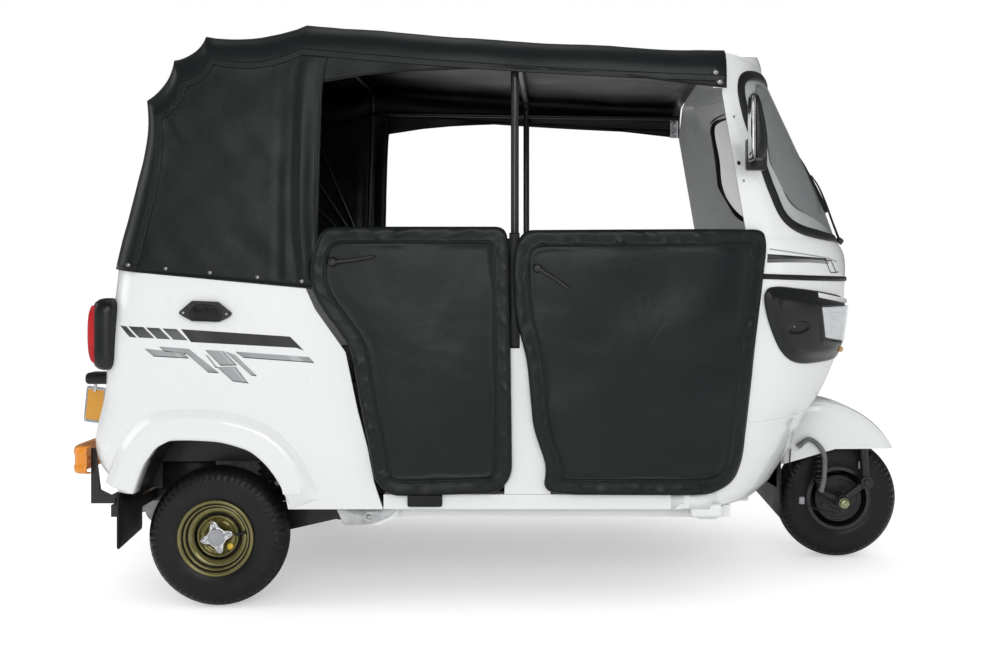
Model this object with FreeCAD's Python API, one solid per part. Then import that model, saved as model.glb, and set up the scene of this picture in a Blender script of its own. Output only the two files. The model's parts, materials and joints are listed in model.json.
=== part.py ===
import FreeCAD, Part
import math
import os

V = FreeCAD.Vector

# Running gear
WHEELBASE = 1985.0
REAR_AXLE_X = -869.5
FRONT_AXLE_X = REAR_AXLE_X + WHEELBASE
TYRE_RADIUS = 208.5
TYRE_WIDTH = 108.0
RIM_RADIUS = 112.0
BEAD_RADIUS = 102.0
REAR_TRACK = 1150.0
AXLE_RADIUS = 10.0
BORE_CLEARANCE = 0.05

# Steering
RAKE = 20.0
AXIS_GROUND_X = FRONT_AXLE_X + 64.5
STEERING_LIMIT = 40.0
COLUMN_RADIUS = 15.0
HEAD_TUBE_RADIUS = 27.0
WELL_RADIUS = 205.0
WELL_CEILING = 192.0
WELL_WALL = 4.0
HANDLEBAR_RISE = 655.0

# Body shell
BODY_HALF_WIDTH = 640.0
WALL = 8.0
SEAM = 0.5
SEAT_GAP = 0.3
NOSE_START_X = 500.0
REAR_CORNER_RADIUS = 120.0
SILL_Z = 298.0
BELT_Z = 1000.0
SCREEN_BASE_Z = 1102.0
HEADER_Z = 1655.0
ROOF_FRONT_X = 640.0

# Doors
DOOR_GAP = 1.0
DOOR_THICKNESS = 22.0
PILLAR_X = 10.0
DOOR_SPACING = 12.0

# Hood
HOOD_HALF_WIDTH = 642.0
HOOD_THICKNESS = 6.0
POLE_RADIUS = 12.0
POLE_Y = 588.0
FLAP_Z = 1540.0
ROOF_TOP_Z = 1740.0

# Heights of the body outline: height, nose front, rear face
BODY_LEVELS = [
    (SILL_Z, 690.0, -1165.0),
    (350.0, 795.0, -1186.0),
    (430.0, 890.0, -1246.0),
    (545.0, 1005.0, -1248.0),
    (680.0, 1084.0, -1224.0),
    (880.0, 1128.0, -1204.0),
    (BELT_Z, 1131.0, -1188.0),
    (1050.0, 1127.0, -1186.0),
    (SCREEN_BASE_Z, 1093.0, -1186.0),
]
SCREEN_LEVELS = [
    (SCREEN_BASE_Z, 1093.0),
    (1226.0, 1046.0),
    (1412.0, 953.0),
    (1579.0, 868.0),
    (HEADER_Z, 830.0),
]


def box(x0, x1, y0, y1, z0, z1):
    """Axis-aligned block between two corners."""
    return Part.makeBox(x1 - x0, y1 - y0, z1 - z0, V(x0, y0, z0))


def rod(start, end, radius):
    """Round bar between two points."""
    direction = end.sub(start)
    return Part.makeCylinder(radius, direction.Length, start, direction)


def mirrored(shape):
    """The same shape on the other side of the centre plane."""
    return shape.mirror(V(0, 0, 0), V(0, 1, 0))


def both_sides(shape):
    """A piece and its mirror image in one compound."""
    return Part.makeCompound([shape, mirrored(shape)])


def rounded_edges(points, bend, closed):
    """Edges of a polyline whose corners are arcs of the bend radius."""
    count = len(points)
    corners = []
    for i in range(count):
        if not closed and i in (0, count - 1):
            corners.append((points[i], points[i], None))
            continue
        here = points[i]
        back = points[i - 1].sub(here)
        ahead = points[(i + 1) % count].sub(here)
        half_angle = back.getAngle(ahead) / 2
        room = 0.45 * min(back.Length, ahead.Length)
        reach = min(bend / math.tan(half_angle), room)
        if abs(math.pi / 2 - half_angle) < 0.01:
            corners.append((here, here, None))
            continue
        radius = reach * math.tan(half_angle)
        unit_back = V(back).normalize()
        unit_ahead = V(ahead).normalize()
        bisector = unit_back.add(unit_ahead).normalize()
        centre = here + bisector * (radius / math.sin(half_angle))
        corners.append((here + unit_back * reach, here + unit_ahead * reach, centre - bisector * radius))
    edges = []
    for i in range(count if closed else count - 1):
        leave = corners[i][1]
        arrive, depart, middle = corners[(i + 1) % count]
        if leave.sub(arrive).Length > 0.01:
            edges.append(Part.LineSegment(leave, arrive).toShape())
        if middle is not None:
            edges.append(Part.Arc(arrive, middle, depart).toShape())
    return edges


def outline_face(points, bend):
    """Flat face inside a closed outline with rounded corners."""
    return Part.Face(Part.Wire(Part.__sortEdges__(rounded_edges(points, bend, True))))


def plate_y(outline, y0, y1, bend=0.01):
    """Outline given as (x, z) pairs, extruded across the vehicle from y0 to y1."""
    face = outline_face([V(x, y0, z) for x, z in outline], bend)
    return face.extrude(V(0, y1 - y0, 0))


def plate_x(outline, x0, x1, bend=0.01):
    """Outline given as (y, z) pairs, extruded along the vehicle from x0 to x1."""
    face = outline_face([V(x0, y, z) for y, z in outline], bend)
    return face.extrude(V(x1 - x0, 0, 0))


def plate_z(outline, z0, z1, bend=0.01):
    """Outline given as (x, y) pairs, extruded upward from z0 to z1."""
    face = outline_face([V(x, y, z0) for x, y in outline], bend)
    return face.extrude(V(0, 0, z1 - z0))


def tube(points, radius, bend):
    """Round bar along a path with bent corners."""
    edges = rounded_edges(points, bend, False)
    path = Part.Wire(edges)
    direction = edges[0].tangentAt(edges[0].FirstParameter)
    circle = Part.Wire(Part.Circle(points[0], direction, radius).toShape())
    return path.makePipeShell([circle], True, False)


def turned(profile, centre, axis=V(0, 1, 0)):
    """Solid of revolution about the Y axis through centre; the profile is a list of (radius, offset) pairs."""
    points = [V(centre.x + r, centre.y + offset, centre.z) for r, offset in profile]
    face = Part.Face(Part.makePolygon(points + points[:1]))
    return face.revolve(centre, axis, 360)


# Body envelope

def body_section(level, grow):
    """Plan outline at one height: round rear corners, straight sides and a half-ellipse nose."""
    z, nose_x, rear_x = level
    half = BODY_HALF_WIDTH + grow
    rear = rear_x - grow
    corner = REAR_CORNER_RADIUS + grow
    nose_length = nose_x + grow - NOSE_START_X
    unit_arc = Part.ArcOfCircle(Part.Circle(V(0, 0, 0), V(0, 0, 1), 1), -math.pi / 2, math.pi / 2).toShape()
    stretch = FreeCAD.Matrix()
    stretch.scale(nose_length, half, 1)
    nose = unit_arc.transformGeometry(stretch)
    nose.translate(V(NOSE_START_X, 0, z))
    diagonal = corner * math.sqrt(0.5)
    arcs = []
    for side in (1, -1):
        centre = V(rear + corner, side * (half - corner), z)
        first = V(rear + corner, side * half, z)
        middle = V(centre.x - diagonal, centre.y + side * diagonal, z)
        last = V(rear, side * (half - corner), z)
        arcs.append(Part.Arc(first, middle, last).toShape())
    sides = []
    for side in (1, -1):
        sides.append(Part.makeLine(V(NOSE_START_X, side * half, z), V(rear + corner, side * half, z)))
    back = Part.makeLine(V(rear, half - corner, z), V(rear, corner - half, z))
    edges = [nose, sides[0], arcs[0], back, arcs[1], sides[1]]
    return Part.Wire(Part.__sortEdges__(edges))


def body_envelope(grow):
    """Closed solid of the lower body from the sill to the windscreen's base, grown outward by grow."""
    return Part.makeLoft([body_section(level, grow) for level in BODY_LEVELS], True, False)


def screen_envelope(grow):
    """Closed solid behind the windscreen from its base to the header, grown outward by grow."""
    levels = [(z, nose_x, -100.0) for z, nose_x in SCREEN_LEVELS]
    return Part.makeLoft([body_section(level, grow) for level in levels], True, False)


def nose_x_at(z):
    """Front of the body outline at a height, between the named levels."""
    levels = BODY_LEVELS
    for (z0, x0, rear0), (z1, x1, rear1) in zip(levels, levels[1:]):
        if z0 <= z <= z1:
            return x0 + (x1 - x0) * (z - z0) / (z1 - z0)
    return levels[-1][1]


def half_width_at(x, z):
    """Half width of the body skin at a place along the nose."""
    reach = (x - NOSE_START_X) / (nose_x_at(z) - NOSE_START_X)
    if reach <= 0:
        return BODY_HALF_WIDTH
    return BODY_HALF_WIDTH * math.sqrt(1 - min(reach, 1.0) ** 2)


# Steering axis

AXIS_DIRECTION = V(-math.sin(math.radians(RAKE)), 0, math.cos(math.radians(RAKE)))
AXIS_FORWARD = V(math.cos(math.radians(RAKE)), 0, math.sin(math.radians(RAKE)))
AXIS_FOOT = V(AXIS_GROUND_X, 0, 0)
AXIS_START = AXIS_FOOT.dot(AXIS_DIRECTION)


def on_axis(height):
    """Point on the steering axis at an axial height counted from the origin."""
    return AXIS_FOOT + AXIS_DIRECTION * (height - AXIS_START)


def axis_cylinder(radius, low, high):
    """Cylinder round the steering axis between two axial heights."""
    return rod(on_axis(low), on_axis(high), radius)


# Shared solids that the panels are cut from

OUTER = body_envelope(0)
INNER = body_envelope(-WALL)
BODY_SKIN = OUTER.cut(INNER)
CAVITY = body_envelope(-WALL - SEAM)
SCREEN_OUTER = screen_envelope(0)
SCREEN_INNER = screen_envelope(-WALL)
WELL_OUTER = axis_cylinder(WELL_RADIUS + WELL_WALL, -200, WELL_CEILING + WELL_WALL)
WELL_SPACE = axis_cylinder(WELL_RADIUS, -260, WELL_CEILING)
SIDE_Y = BODY_HALF_WIDTH + 60
REAR_SEAM_Y = 500.0
REAR_SEAM_X = -1080.0

# Panel and door outlines as (x, z)

NOSE_OUTLINE = [
    (706, 1200), (702, 1100), (672, 760), (640, 437), (600, 360), (480, 300), (480, 200), (1300, 200), (1300, 1200),
]
FRONT_DOOR = [
    (PILLAR_X + 2, 1040), (40, 1118), (757, 1122), (767, 1080), (728, 773), (694, 437), (668, 372), (600, 342),
    (176, 344), (100, 356), (112, 424), (72, 539), (54, 734), (18, 876),
]
REAR_DOOR = [
    (PILLAR_X - 12, 1060), (-10, 1128), (-545, 1128), (-578, 1050), (-583, 962), (-555, 899), (-496, 820),
    (-462, 770), (-429, 597), (-399, 483), (-380, 383), (-335, 342), (-32, 348), (8, 400), (4, 715), (0, 946),
]
SIDE_PANEL = [
    (-1400, 345), (-1400, 1026), (-600, 950), (-572, 887), (-482, 760), (-447, 592), (-417, 478), (-398, 378),
    (-372, SILL_Z), (-372, 200), (-1100, 200), (-1100, 345),
]
ARCH = [
    (-1110, 200), (-1110, 349), (-1071, 430), (-1035, 482), (-985, 507), (-848, 503), (-762, 477), (-713, 436),
    (-669, 380), (-628, 200),
]
PILLAR = [(-14, 342), (122, 342), (84, 540), (64, 740), (44, 900), (38, BELT_Z), (-8, BELT_Z)]
SCREEN_SIDE = [(715, SCREEN_BASE_Z - 52), (632, 1529), (648, HEADER_Z + 40), (1200, HEADER_Z + 40), (1200, SCREEN_BASE_Z - 52)]
HEADLAMP = [(762, 905), (785, 926), (950, 924), (1090, 915), (1090, 715), (860, 716), (812, 760), (770, 850)]
HEADLAMP_LENS = [(968, 892), (1090, 892), (1090, 775), (985, 790)]


def grown_outline(outline, y, amount, bend):
    """Flat face of an outline pushed outward by an amount."""
    return outline_face([V(x, y, z) for x, z in outline], bend).makeOffset2D(amount)


def nose_panel():
    """Front panel: the bow ahead of the doors, with its arch over the front wheel."""
    panel = BODY_SKIN.common(plate_y(NOSE_OUTLINE, -SIDE_Y, SIDE_Y, 40))
    return panel.cut(WELL_OUTER)


def screen_opening(grow):
    """Space of the windscreen's opening, seen from the front, with round corners."""
    top = HEADER_Z - 70 + grow
    base = SCREEN_BASE_Z + 22 - grow
    half_top = 478 + grow
    wide = 520 + grow
    outline = [
        (-half_top, top), (half_top, top), (wide, 1330), (wide - 30, base + 70), (260, base), (-260, base),
        (30 - wide, base + 70), (-wide, 1330),
    ]
    return plate_x(outline, 620, 1300, 60)


def header_cap():
    """Visor-like cap that laps over the windscreen frame, open below."""
    levels = [(HEADER_Z - 40, 846.0), (HEADER_Z, 836.0), (1685.0, 828.0), (1700.0, 815.0), (1716.0, 780.0)]
    crown = [
        (-700, 1500), (700, 1500), (640, 1560), (560, 1640), (300, 1692), (0, 1712), (-300, 1692), (-560, 1640),
        (-640, 1560),
    ]
    hollow_crown = [(y * 0.98, z - 12) for y, z in crown]
    outer = Part.makeLoft([body_section((z, x, -100.0), 3) for z, x in levels], True, False)
    inner = Part.makeLoft([body_section((z - 12, x, -100.0), -14) for z, x in levels], True, False)
    cap = outer.common(plate_x(crown, ROOF_FRONT_X + SEAM, 900, 60))
    cap = cap.common(box(ROOF_FRONT_X, 900, -SIDE_Y, SIDE_Y, HEADER_Z - 8, 1800))
    return cap.cut(inner.common(plate_x(hollow_crown, 600, 900, 60)))


def windscreen_frame():
    """Pillars beside the windscreen and the header cap over it, one moulding."""
    pillars = SCREEN_OUTER.cut(SCREEN_INNER).common(plate_y(SCREEN_SIDE, -SIDE_Y, SIDE_Y))
    return pillars.cut(screen_opening(0)).fuse(header_cap()).removeSplitter()


def windscreen():
    """Curved pane in the middle of the frame's wall."""
    pane = screen_envelope(-2).cut(screen_envelope(-7))
    return pane.common(screen_opening(-1))


def windscreen_seal():
    """Rubber seal lying on the frame's outside and lapping over the pane's edge."""
    ring = screen_envelope(7).cut(screen_envelope(SEAM))
    return ring.common(screen_opening(14)).cut(screen_opening(-24))


def rear_side_panel():
    """Left rear quarter panel with its wheel arch and the raised lip round it."""
    panel = BODY_SKIN.common(plate_y(SIDE_PANEL, 0, SIDE_Y))
    lip = grown_outline(ARCH, 0, 50, 60).extrude(V(0, SIDE_Y, 0))
    flare = body_envelope(18).cut(INNER).common(lip).common(box(-1240, -560, 560, SIDE_Y, 345, 700))
    panel = panel.fuse(flare).cut(plate_y(ARCH, 0, SIDE_Y, 60))
    return panel.cut(box(-1400, REAR_SEAM_X, -10, REAR_SEAM_Y + SEAM, 0, 1200)).removeSplitter()


LID_HALF_WIDTH = 400.0
LID_BASE_Z = 668.0
LID_TOP_Z = 940.0
LID_GAP = 5.0


LID_AXIS = V(-1210, 0, 944)
LID_PIN_RADIUS = 4.0
LID_KNUCKLES = (-290.0, 230.0)


def rear_panel():
    """Rear wall between the quarter panels, with the engine bay's opening and the lid's hinge ears."""
    wall = BODY_SKIN.common(box(-1400, REAR_SEAM_X, -REAR_SEAM_Y, REAR_SEAM_Y, 345, BELT_Z + 6))
    wall = wall.cut(box(-1400, REAR_SEAM_X, -LID_HALF_WIDTH, LID_HALF_WIDTH, LID_BASE_Z, LID_TOP_Z))
    for y in LID_KNUCKLES:
        for start in (y - 12, y + 60):
            wall = wall.fuse(box(LID_AXIS.x - 7, LID_AXIS.x + 20, start, start + 12, LID_AXIS.z - 4, LID_AXIS.z + 20))
        pin_start = V(LID_AXIS.x, y - 12, LID_AXIS.z)
        wall = wall.fuse(rod(pin_start, pin_start + V(0, 84, 0), LID_PIN_RADIUS))
    return wall.removeSplitter()


def engine_lid():
    """Lid over the engine bay, with three pressed slots and two hinge knuckles."""
    half = LID_HALF_WIDTH - LID_GAP
    lid = BODY_SKIN.common(box(-1400, REAR_SEAM_X, -half, half, LID_BASE_Z + LID_GAP, LID_TOP_Z - LID_GAP))
    for z in (730, 780, 830):
        lid = lid.cut(box(-1400, REAR_SEAM_X, -250, 250, z, z + 18).cut(body_envelope(-4)))
    for y in LID_KNUCKLES:
        start = V(LID_AXIS.x, y + 1, LID_AXIS.z)
        knuckle = rod(start, start + V(0, 58, 0), 8)
        leaf = box(LID_AXIS.x - 7, LID_AXIS.x + 6, y + 1, y + 59, LID_AXIS.z - 30, LID_AXIS.z - 4)
        leaf = leaf.fuse(box(LID_AXIS.x, LID_AXIS.x + 18, y + 1, y + 59, LID_AXIS.z - 30, LID_TOP_Z - LID_GAP))
        bore = rod(start - V(0, 2, 0), start + V(0, 62, 0), LID_PIN_RADIUS + BORE_CLEARANCE)
        lid = lid.fuse(knuckle.fuse(leaf).cut(bore))
    return lid.removeSplitter()


def side_frame():
    """Sill, centre pillar and the partition between the two cabins, one welded frame."""
    sill = box(-370, 478, 592, BODY_HALF_WIDTH - 2, SILL_Z, 341)
    pillar = plate_y(PILLAR, 564, BODY_HALF_WIDTH - 2)
    left = sill.fuse(pillar)
    for z in (470, 850):
        left = left.fuse(box(-8, 4, 620, BODY_HALF_WIDTH + DOOR_GAP - SEAT_GAP, z, z + 50))
    partition = box(4, 14, -592, 592, 312, 740)
    window = plate_x([(-380, 640), (380, 640), (380, 420), (-380, 420)], 8, 20, 40)
    return left.fuse(mirrored(left)).fuse(partition.cut(window)).removeSplitter()


def floor_pan():
    """Pressed floor with lengthwise ribs, from the seat box to the front wheel's well."""
    floor = box(-560, 900, -591.5, 591.5, SILL_Z, SILL_Z + 10).common(INNER)
    for y in (-450, -300, -150, 0, 150, 300, 450):
        floor = floor.fuse(box(-540, 470, y - 20, y + 20, SILL_Z + 10, SILL_Z + 14))
        floor = floor.fuse(box(-540, -20, y - 20, y + 20, SILL_Z + 10, SILL_Z + 14))
    partition_slot = box(3, 15, -600, 600, SILL_Z + 10, SILL_Z + 20)
    return floor.cut(partition_slot).cut(WELL_OUTER).fuse(driver_seat_frame()).removeSplitter()


def seat_box():
    """Wall and shelf under the passenger seat with the rear wheel housings."""
    wall = box(-570, -562, -591, 591, SILL_Z + 1, 610)
    shelf = box(-1150, -562, -591, 591, 602, 610)
    result = wall.fuse(shelf)
    outer = grown_outline(ARCH, 466, 6, 60).extrude(V(0, 165, 0))
    inner = plate_y(ARCH, 470, 640, 60)
    housing = outer.cut(inner).common(box(-1150, -600, 460, 631, 330, 700))
    housing = housing.cut(box(-1080, -650, 460, 480, 300, 410)).common(CAVITY)
    result = result.fuse(housing).fuse(mirrored(housing))
    side = box(-1090, -570, 585, 591, 505, 610)
    return result.fuse(side).fuse(mirrored(side)).removeSplitter()


def front_wheel_well():
    """Round well over the front wheel with the steering head tube on it."""
    well = WELL_OUTER.cut(WELL_SPACE).common(CAVITY)
    tube_outer = axis_cylinder(HEAD_TUBE_RADIUS, WELL_CEILING + 1, 520)
    bore = axis_cylinder(COLUMN_RADIUS + SEAT_GAP, WELL_CEILING - 10, 530)
    brace = plate_y([(885, 600), (905, 600), (905, 860), (885, 860)], -200, 200)
    brace = brace.common(CAVITY)
    return well.fuse(tube_outer).fuse(brace).cut(bore).removeSplitter()


def dashboard():
    """Shelf under the windscreen with a sloping instrument face, open below."""
    profile = [(945, 905), (925, 960), (960, 985), (1200, 985), (1200, 905)]
    inner = [(957, 880), (940, 953), (966, 973), (1190, 973), (1190, 880)]
    shelf = plate_y(profile, -560, 560, 14).cut(plate_y(inner, -548, 548, 10))
    return shelf.common(CAVITY)


def seat(x, half, height, depth, back_top, lean):
    """Cushion and backrest of one bench, two rounded pads."""
    cushion = box(x, x + depth, -half, half, height, height + 90)
    cushion = cushion.makeFillet(25, cushion.Edges)
    face = x - 1.7 * SEAT_GAP
    back = box(face - 69, face, -half, half, height + 20, back_top)
    back = back.makeFillet(25, back.Edges)
    back.rotate(V(x, 0, height + 45), V(0, 1, 0), -lean)
    return Part.makeCompound([cushion, back])


def driver_seat_frame():
    """Steel box under the driver's cushion, welded to the floor."""
    outer = box(150, 500, -230, 230, SILL_Z + 8, 590)
    return outer.cut(box(158, 492, -222, 222, SILL_Z + 10, 582)).cut(box(140, 510, -160, 160, SILL_Z + 14, 500))


HOOD_PIVOT = V(-609, 0, 930)
HOOD_REAR_TIPS = [
    (-1180, 985), (-1150, 1180), (-1108, 1340), (-1085, 1511), (-1046, 1566), (-1005, 1632), (-962, 1656),
    (-909, 1706), (-759, 1698), (-609, 1740),
]
HOOD_ROOF_TIPS = [(-300, 1712), (14.5, 1694), (330, 1676), (ROOF_FRONT_X, 1661)]
BOW_TIPS = [(-1085, 1511), (-1005, 1632), (-909, 1706), (-609, 1740)]
SHOULDER = 75.0
CROWN = 8.0


def hood_wire(pivot, tip, inset, foot):
    """Inverted U of the hood in the plane through the pivot line and the bow's tip."""
    along = tip.sub(pivot).normalize()
    length = tip.sub(pivot).Length - inset
    half = HOOD_HALF_WIDTH - inset
    soft = SHOULDER - inset
    bulge = soft * (1 - math.sqrt(0.5))

    def at(y, reach):
        return pivot + along * reach + V(0, y, 0)

    edges = [
        Part.makeLine(at(-half, foot), at(-half, length - soft)),
        Part.Arc(at(-half, length - soft), at(-half + bulge, length - bulge), at(-half + soft, length)).toShape(),
        Part.Arc(at(-half + soft, length), at(0, length + CROWN), at(half - soft, length)).toShape(),
        Part.Arc(at(half - soft, length), at(half - bulge, length - bulge), at(half, length - soft)).toShape(),
        Part.makeLine(at(half, length - soft), at(half, foot)),
        Part.makeLine(at(half, foot), at(-half, foot)),
    ]
    return Part.Wire(edges)


def hood_form(inset, foot):
    """Solid under the hood: a fan of bays behind the last bow and straight bays over the roof."""
    wires = [hood_wire(HOOD_PIVOT, V(x, 0, z), inset, foot) for x, z in HOOD_REAR_TIPS]
    fan = Part.makeLoft(wires, True, True)
    stations = [HOOD_REAR_TIPS[-1]] + HOOD_ROOF_TIPS
    wires = [hood_wire(V(x, 0, HOOD_PIVOT.z), V(x, 0, z), inset, foot) for x, z in stations]
    roof = Part.makeLoft(wires, True, True)
    return fan.fuse(roof)


CURTAIN_CUT = [(-587, 900), (-556, 1562), (ROOF_FRONT_X + 10, FLAP_Z), (ROOF_FRONT_X + 10, 900)]
HEM_CUT = [(-1400, 1027), (-1400, 600), (-500, 600), (-500, 942)]
REAR_WINDOW = [(-260, 1180), (260, 1180), (240, 1390), (-240, 1390)]


def hood_cloth():
    """Vinyl hood: roof, side flaps, rear curtains and back, open at the sides."""
    cloth = hood_form(0, 40).cut(hood_form(HOOD_THICKNESS, 10))
    cloth = cloth.cut(plate_y(CURTAIN_CUT, -SIDE_Y, SIDE_Y)).cut(plate_y(HEM_CUT, -SIDE_Y, SIDE_Y))
    cloth = cloth.cut(plate_x(REAR_WINDOW, -1300, -900, 50))
    return cloth


def rear_window():
    """Clear vinyl pane in the back of the hood."""
    sheet = hood_form(2, 40).cut(hood_form(4, 10))
    return sheet.common(plate_x(REAR_WINDOW, -1300, -900, 50))


def hood_frame():
    """Bows, poles, rails and stays that carry the hood."""
    clear = HOOD_THICKNESS + 13
    half = HOOD_HALF_WIDTH - HOOD_THICKNESS - 14
    pieces = []
    for x, z in BOW_TIPS:
        along = V(x, 0, z).sub(HOOD_PIVOT).normalize()
        top = V(x, 0, z) - along * clear
        foot = HOOD_PIVOT + V(-20, 0, 110)
        route = [foot + V(0, -half, 0), top + V(0, -half, 0), top + V(0, half, 0), foot + V(0, half, 0)]
        pieces.append(tube(route, 9, SHOULDER - 12))
    x, z = HOOD_ROOF_TIPS[1]
    top = z - clear
    route = [V(x, -POLE_Y, BELT_Z), V(x, -POLE_Y, top), V(x, POLE_Y, top), V(x, POLE_Y, BELT_Z)]
    pieces.append(tube(route, POLE_RADIUS, 50))
    for side in (-1, 1):
        rail = [V(-609, side * half, 1632), V(-540, side * POLE_Y, 1630), V(ROOF_FRONT_X - 5.3, side * POLE_Y, 1612)]
        pieces.append(tube(rail, 9, 20))
        pieces.append(rod(V(-629, side * (half - 14), 1040), V(-629, side * (half + 10), 1040), 22))
        pieces.append(box(-645, -613, min(side * 631, side * 610), max(side * 631, side * 610), 940, 1040))
    result = pieces[0]
    for piece in pieces[1:]:
        result = result.fuse(piece)
    return result.removeSplitter()


def headlamp_shell(low, high):
    """Layer of the nose between two growths."""
    return body_envelope(high).cut(body_envelope(low))


def headlamp_housing():
    """Left headlamp housing, a thick moulding that wraps the corner of the nose."""
    housing = headlamp_shell(SEAM, 12).common(plate_y(HEADLAMP, 300, SIDE_Y, 60))
    for low, high, inset in ((12, 26, 10), (26, 34, 20), (34, 50, 32)):
        step = grown_outline(HEADLAMP, 300, -inset, 60).extrude(V(0, SIDE_Y - 300, 0))
        if low == 34:
            step = step.common(box(840, 1200, 300, 700, 700, 950))
        else:
            step = step.fuse(plate_y(HEADLAMP, 300, SIDE_Y, 60).common(box(900, 1200, 300, 700, 700, 950)))
        housing = housing.fuse(headlamp_shell(low, high).common(step))
    window = headlamp_shell(40, 60).common(plate_y(HEADLAMP_LENS, 330, SIDE_Y, 10))
    return housing.cut(window).removeSplitter()


def headlamp_lens():
    """Clear lens in the housing's window."""
    window = headlamp_shell(40 + SEAM, 49).common(plate_y(HEADLAMP_LENS, 330, SIDE_Y, 10))
    return window.common(body_envelope(49))


def mirror():
    """Left mirror: bracket block, stem and upright housing."""
    bracket = box(700, 762, 560, 640, 1296, 1392).cut(SCREEN_OUTER)
    stem = rod(V(735, 620, 1380), V(725, 705, 1400), 8)
    head = box(700, 742, 655, 760, 1318, 1510)
    head = head.makeFillet(16, head.Edges)
    return bracket.fuse(stem).fuse(head).removeSplitter()


def wiper():
    """Wiper arm and blade over the windscreen, on a spindle in the nose below the glass."""
    spindle = rod(V(1080, -60, 1078), V(1122, -60, 1104), 11).cut(body_envelope(SEAM))
    arm = tube([V(1117, -60, 1100), V(1054, -110, 1230), V(984, -195, 1327)], 5, 30)
    blade = rod(V(1012, -290, 1215), V(958, -100, 1440), 5)
    return spindle.fuse(arm).fuse(blade).removeSplitter()


def tail_lamp():
    """Left tail lamp: black housing on the rear corner."""
    housing = plate_y([(-1255, 735), (-1262, 880), (-1235, 918), (-1150, 918), (-1150, 703), (-1235, 703)], 530, 632, 14)
    return housing.cut(body_envelope(SEAM))


def tail_lens():
    """Red lens on the back of the left tail lamp."""
    return plate_y([(-1268, 745), (-1274, 870), (-1258, 890), (-1256, 730)], 540, 622, 4).cut(tail_lamp())


PLATE_CENTRE = V(-1288, -470, 585)


def number_plate():
    """Small blank number plate turned toward the corner, with its lamp above."""
    plate = box(-2, 2, -54, 54, -56, 56).fuse(box(2, 5, -48, 48, -48, 48))
    plate.rotate(V(0, 0, 0), V(0, 1, 0), 6)
    plate.rotate(V(0, 0, 0), V(0, 0, 1), 35)
    plate.translate(PLATE_CENTRE)
    lamp = box(-1305, -1215, -510, -440, 652, 686)
    lamp = lamp.makeFillet(10, lamp.Edges).cut(body_envelope(SEAM))
    arm = rod(PLATE_CENTRE, PLATE_CENTRE + V(60, 0, 15), 6).cut(body_envelope(SEAM))
    stay = rod(PLATE_CENTRE + V(0, 0, 40), PLATE_CENTRE + V(0, 0, 71), 5)
    return plate.fuse(lamp).fuse(arm).fuse(stay).removeSplitter()


BUMPER_LOW = 392.0
BUMPER_HIGH = 474.0
BUMPER_PLAN = [(-1262, -600), (-1300, -590), (-1323.5, -540), (-1323.5, 540), (-1300, 590), (-1262, 600)]


def rear_bumper():
    """Channel bumper, bent forward at its ends and open to the front."""
    inner = [(-1255, -596), (-1297, -585), (-1319, -538), (-1319, 538), (-1297, 585), (-1255, 596)]
    outer = plate_z(BUMPER_PLAN, BUMPER_LOW, BUMPER_HIGH, 25)
    return outer.cut(plate_z(inner, BUMPER_LOW + 4, BUMPER_HIGH - 4, 25)).cut(box(-1262, -1200, -700, 700, 300, 600))


FRAME_REAR_X = -1196.0


def bumper_brackets():
    """Plates that carry the bumper: one pair from the rails and one pair at the corners."""
    inner = [
        (FRAME_REAR_X, 298), (FRAME_REAR_X, 262), (-1250, 290), (-1310, BUMPER_LOW - SEAT_GAP),
        (-1264, BUMPER_LOW - SEAT_GAP), (-1240, 338), (-1200, 335),
    ]
    corner = [(-1261, 300), (-1190, 300), (-1190, 318), (-1235, 340), (-1250, 466), (-1261, 466)]
    outer_plate = plate_y(corner, 556, 568).cut(body_envelope(1))
    tie = box(FRAME_REAR_X - 20, FRAME_REAR_X + 8, 290, 568, 300, 318)
    return plate_y(inner, 280, 300).fuse(outer_plate).fuse(tie)


def chassis_frame():
    """Rails and cross members under the floor, jack pads, side brackets and the bumper's brackets."""
    top = SILL_Z - SEAM
    frame = box(FRAME_REAR_X, 760, 270, 310, 255, top)
    frame = frame.fuse(box(-490, 640, 540, 580, 262, top))
    bracket = plate_y([(-520, top), (-320, top), (-345, 262), (-390, 243), (-492, 243)], 584, 600)
    bracket = bracket.fuse(box(-400, -330, 540, 590, 262, top))
    frame = frame.fuse(bracket.cut(rod(V(-420, 500, 268), V(-420, 620, 268), 8)))
    frame = frame.fuse(plate_y([(536, top), (640, top), (615, 262), (560, 262)], 560, 610))
    frame = frame.fuse(bumper_brackets())
    result = frame.fuse(mirrored(frame))
    pivot_member = REAR_PIVOT.x - PIVOT_RADIUS - SEAT_GAP - 40
    for x, half in ((FRAME_REAR_X, 580), (pivot_member, 405), (0, 580), (620, 580)):
        result = result.fuse(box(x, x + 40, -half, half, 262, top))
    return result.removeSplitter()


def mud_flaps():
    """Rubber flaps behind the rear wheels and behind the front wheel."""
    rear_x = FRAME_REAR_X + 40 + SEAT_GAP
    rear = plate_x([(450, 198), (640, 178), (640, 344), (450, 344)], rear_x, rear_x + 6)
    wall_foot = AXIS_GROUND_X - (WELL_RADIUS + WELL_WALL) / math.cos(math.radians(RAKE)) - 8
    slope = math.tan(math.radians(RAKE))
    low, high = wall_foot - 165 * slope, wall_foot - 400 * slope
    front = plate_y([(low, 165), (high, 400), (high + 6, 400), (low + 6, 165)], -120, 120)
    return Part.makeCompound([rear, mirrored(rear), front.cut(body_envelope(SEAT_GAP))])


ENGINE_HALF_WIDTH = 190.0


def engine_block():
    """Engine and gearbox as one plain block."""
    return box(-1120, -800, -ENGINE_HALF_WIDTH, ENGINE_HALF_WIDTH, 190, 560)


SILENCER_RADIUS = 45.0
SILENCER_X = -1166.0


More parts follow.
